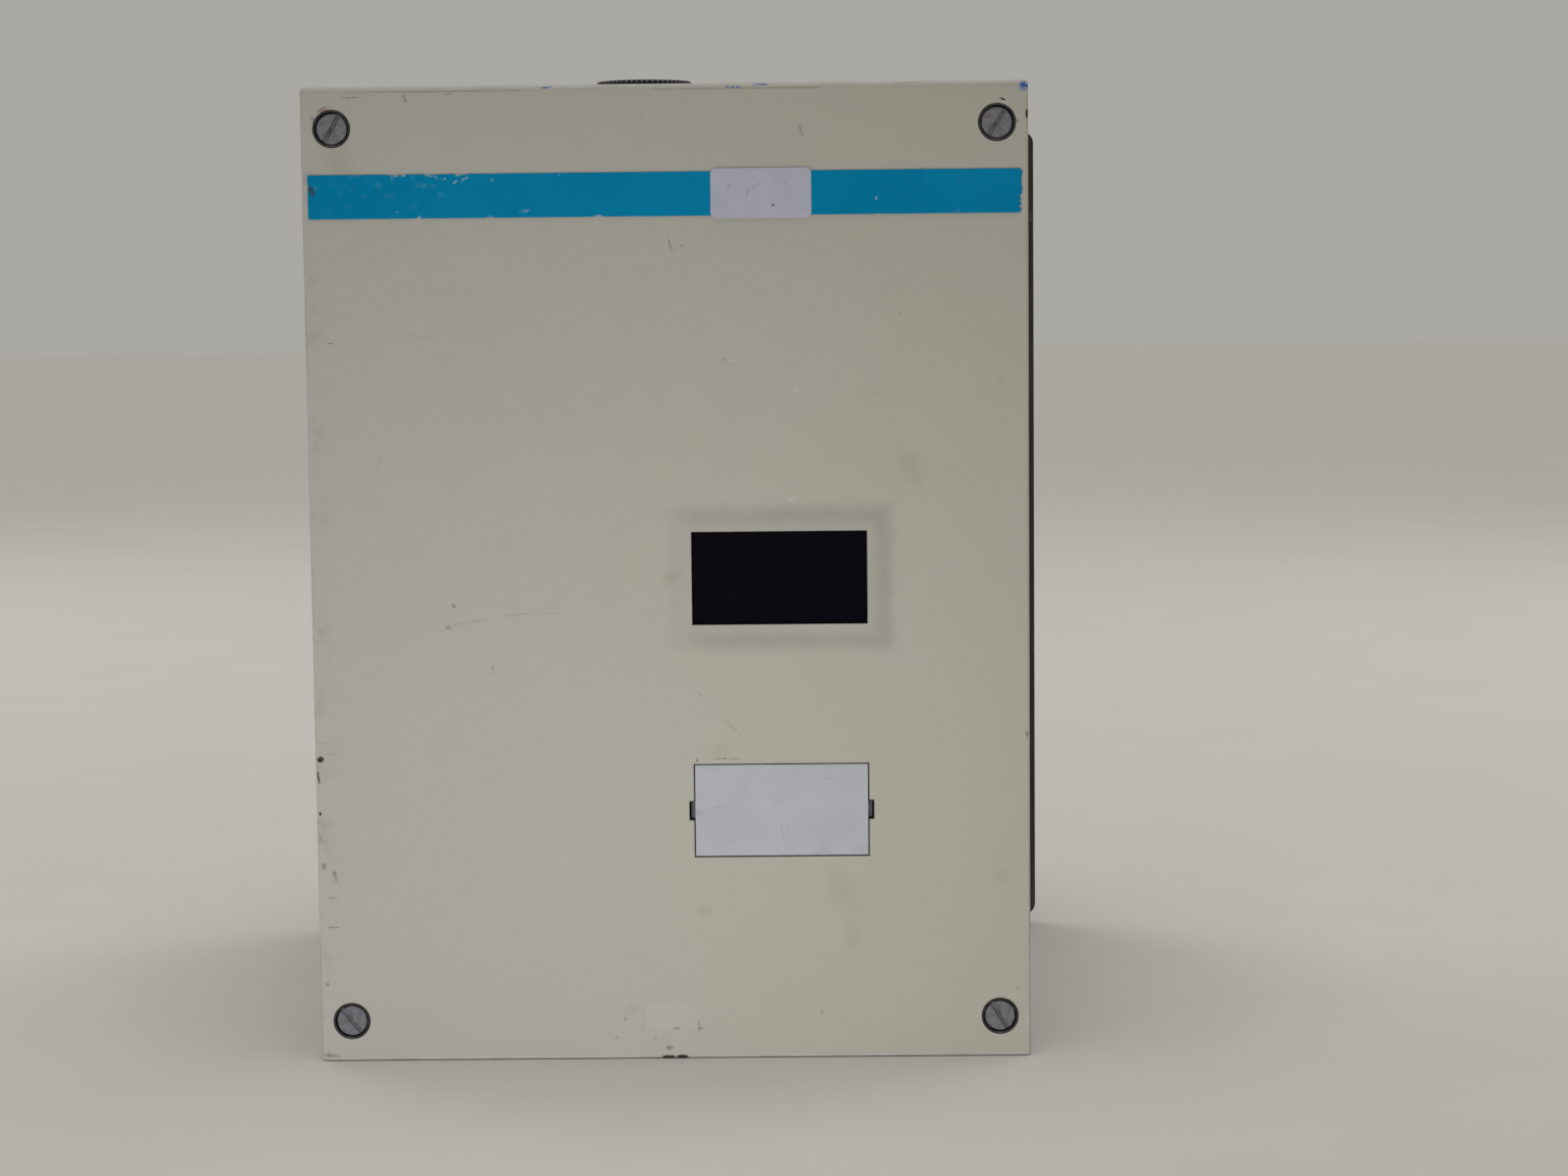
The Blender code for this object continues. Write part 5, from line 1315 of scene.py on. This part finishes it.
def make_camera():
    data = bpy.data.cameras.new("camera")
    data.lens = 74.25
    data.sensor_width = 36
    data.clip_start = 0.01
    camera = bpy.data.objects.new("camera", data)
    camera.location = Vector((41, FRONT - 940.4, COVER_LOW.z + 231.4)) * MM
    camera.rotation_euler = Euler(tuple(map(math.radians, (84.433, 0.580, 0.413))))
    bpy.context.scene.collection.objects.link(camera)
    bpy.context.scene.camera = camera


def place_light(name, kind, place, target, energy, gloss=True, **settings):
    """Adds a light that points from place at target and that no camera sees."""
    data = bpy.data.lights.new(name, kind)
    data.energy = energy
    for key, value in settings.items():
        setattr(data, key, value)
    light = bpy.data.objects.new(name, data)
    light.location = place
    light.rotation_euler = (Vector(target) - Vector(place)).to_track_quat("-Z", "Y").to_euler()
    light.visible_camera = False
    light.visible_glossy = gloss
    bpy.context.scene.collection.objects.link(light)
    return light


def make_lights(floor):
    """A soft ceiling, a soft front light, a low fill that skips the floor, two rear lights."""
    disk = {"shape": "DISK"}
    place_light("ceiling", "SUN", (0, 0, 2), (0, 0.1, 0), 1.45, angle=math.radians(50))
    place_light("front", "AREA", (-0.5, -1.5, 0.7), (0, 0, 0.1), 0.9, size=1.3, **disk)
    low = place_light("low", "AREA", (-0.03, -0.45, 0.05), (-0.01, 0, 0.04), 0.71, False,
                      size=0.12, **disk)
    skipped = bpy.data.collections.new("not_lit_by_low")
    skipped.objects.link(floor)
    skipped.collection_objects[0].light_linking.link_state = "EXCLUDE"
    low.light_linking.receiver_collection = skipped
    place_light("rear_left", "AREA", (-1.1, 1.1, 1.1), (0, 0, 0.1), 4.5, size=1.2, **disk)
    place_light("rear_right", "AREA", (1.3, 0.9, 0.9), (0, 0, 0.1), 4.5, size=1.2, **disk)


def make_world():
    """A pale backdrop that is bright near the horizon and dimmer overhead."""
    world = bpy.data.worlds.new("studio")
    world.use_nodes = True
    nodes, links = world.node_tree.nodes, world.node_tree.links
    place = nodes.new("ShaderNodeTexCoord")
    split = nodes.new("ShaderNodeSeparateXYZ")
    height = nodes.new("ShaderNodeMapRange")
    for name, value in (("From Min", 0.1), ("From Max", 0.35), ("To Min", 1.0), ("To Max", 0.45)):
        height.inputs[name].default_value = value
    links.new(place.outputs["Generated"], split.inputs[0])
    links.new(split.outputs["Z"], height.inputs["Value"])
    background = nodes["Background"]
    background.inputs["Color"].default_value = (0.402, 0.393, 0.364, 1)
    links.new(height.outputs["Result"], background.inputs["Strength"])
    bpy.context.scene.world = world
    bpy.context.scene.view_settings.view_transform = "Standard"


def main():
    make_camera()
    make_world()
    make_lights(make_floor())

    enamel, wall_enamel = cover_paint(), housing_paint()
    black = moulded("black_moulding", (0.022, 0.022, 0.022), 0.5, dust=0.35)
    black_inside = moulded("black_inside", (0.02, 0.02, 0.02), 0.45)
    rubber = moulded("rubber", (0.018, 0.018, 0.018), 0.75, specular=0.25)
    foam = moulded("foam", (0.012, 0.012, 0.012), 0.9, grain=0.4, specular=0.1)
    zinc = plated("zinc_sheet", (0.55, 0.56, 0.56))
    small_zinc = worn_metal("small_zinc", (0.50, 0.50, 0.50), (0.30, 0.30, 0.30), 0.35)
    steel = turned_metal("screw_zinc", (0.22, 0.215, 0.238), 0.5)
    cup_steel = worn_metal("cup_zinc", (0.12, 0.115, 0.12), (0.06, 0.056, 0.056), 0.45, rust=0.5)
    brass = worn_metal("brass", (0.60, 0.42, 0.16), (0.40, 0.27, 0.10), 0.32)
    plate = plate_enamel()
    board = circuit_board()

    make_cover(enamel)
    make_band(band_foil())
    make_label(label_paper())
    make_window(window_smoke(), foam)
    make_hatch(hatch_plastic())
    make_screws(steel, cup_steel)
    make_walls(wall_enamel)
    make_flats(wall_enamel)
    make_rear_plate(plate)
    make_fasteners(
        worn_metal("fastener_zinc", (0.42, 0.42, 0.41), (0.22, 0.21, 0.2), 0.4, rust=0.4)
    )
    make_board_parts(black_inside, small_zinc)
    make_display(black_inside)
    make_terminals()
    make_entry(black, rubber)
    make_grommets(rubber)
    make_guard(zinc)

    looks = {
        "board_carrier": zinc,
        "terminal_bracket": zinc,
        "service_connector": small_zinc,
        "heat_sink": extruded("sink", (0.62, 0.63, 0.64)),
        "fan_frame": black_inside,
        "fan_impeller": black_inside,
        "key_switch_block": black_inside,
        "power_module": black_inside,
        "control_board": board,
        "power_board": board,
        "earth_stud": brass,
        "capacitor_left": sleeve_film("sleeve_film", (0.03, 0.05, 0.16)),
        "capacitor_right": sleeve_film("sleeve_film_2", (0.03, 0.05, 0.16)),
        "choke_core": laminations(),
        "choke_winding": enamelled_wire(),
        "ribbon_cable": flat_cable(),
    }
    for number in (1, 2, 3, 4):
        looks[f"board_spacer_{number}"] = brass
    key = moulded("key_grey", (0.28, 0.28, 0.29), 0.45)
    for number in (1, 2, 3):
        looks[f"setting_key_{number}"] = key
    for corner in SCREWS:
        looks["screw_washer_" + corner] = small_zinc
        looks["nut_insert_" + corner] = small_zinc
    for node, look in looks.items():
        dress(node, look)


main()
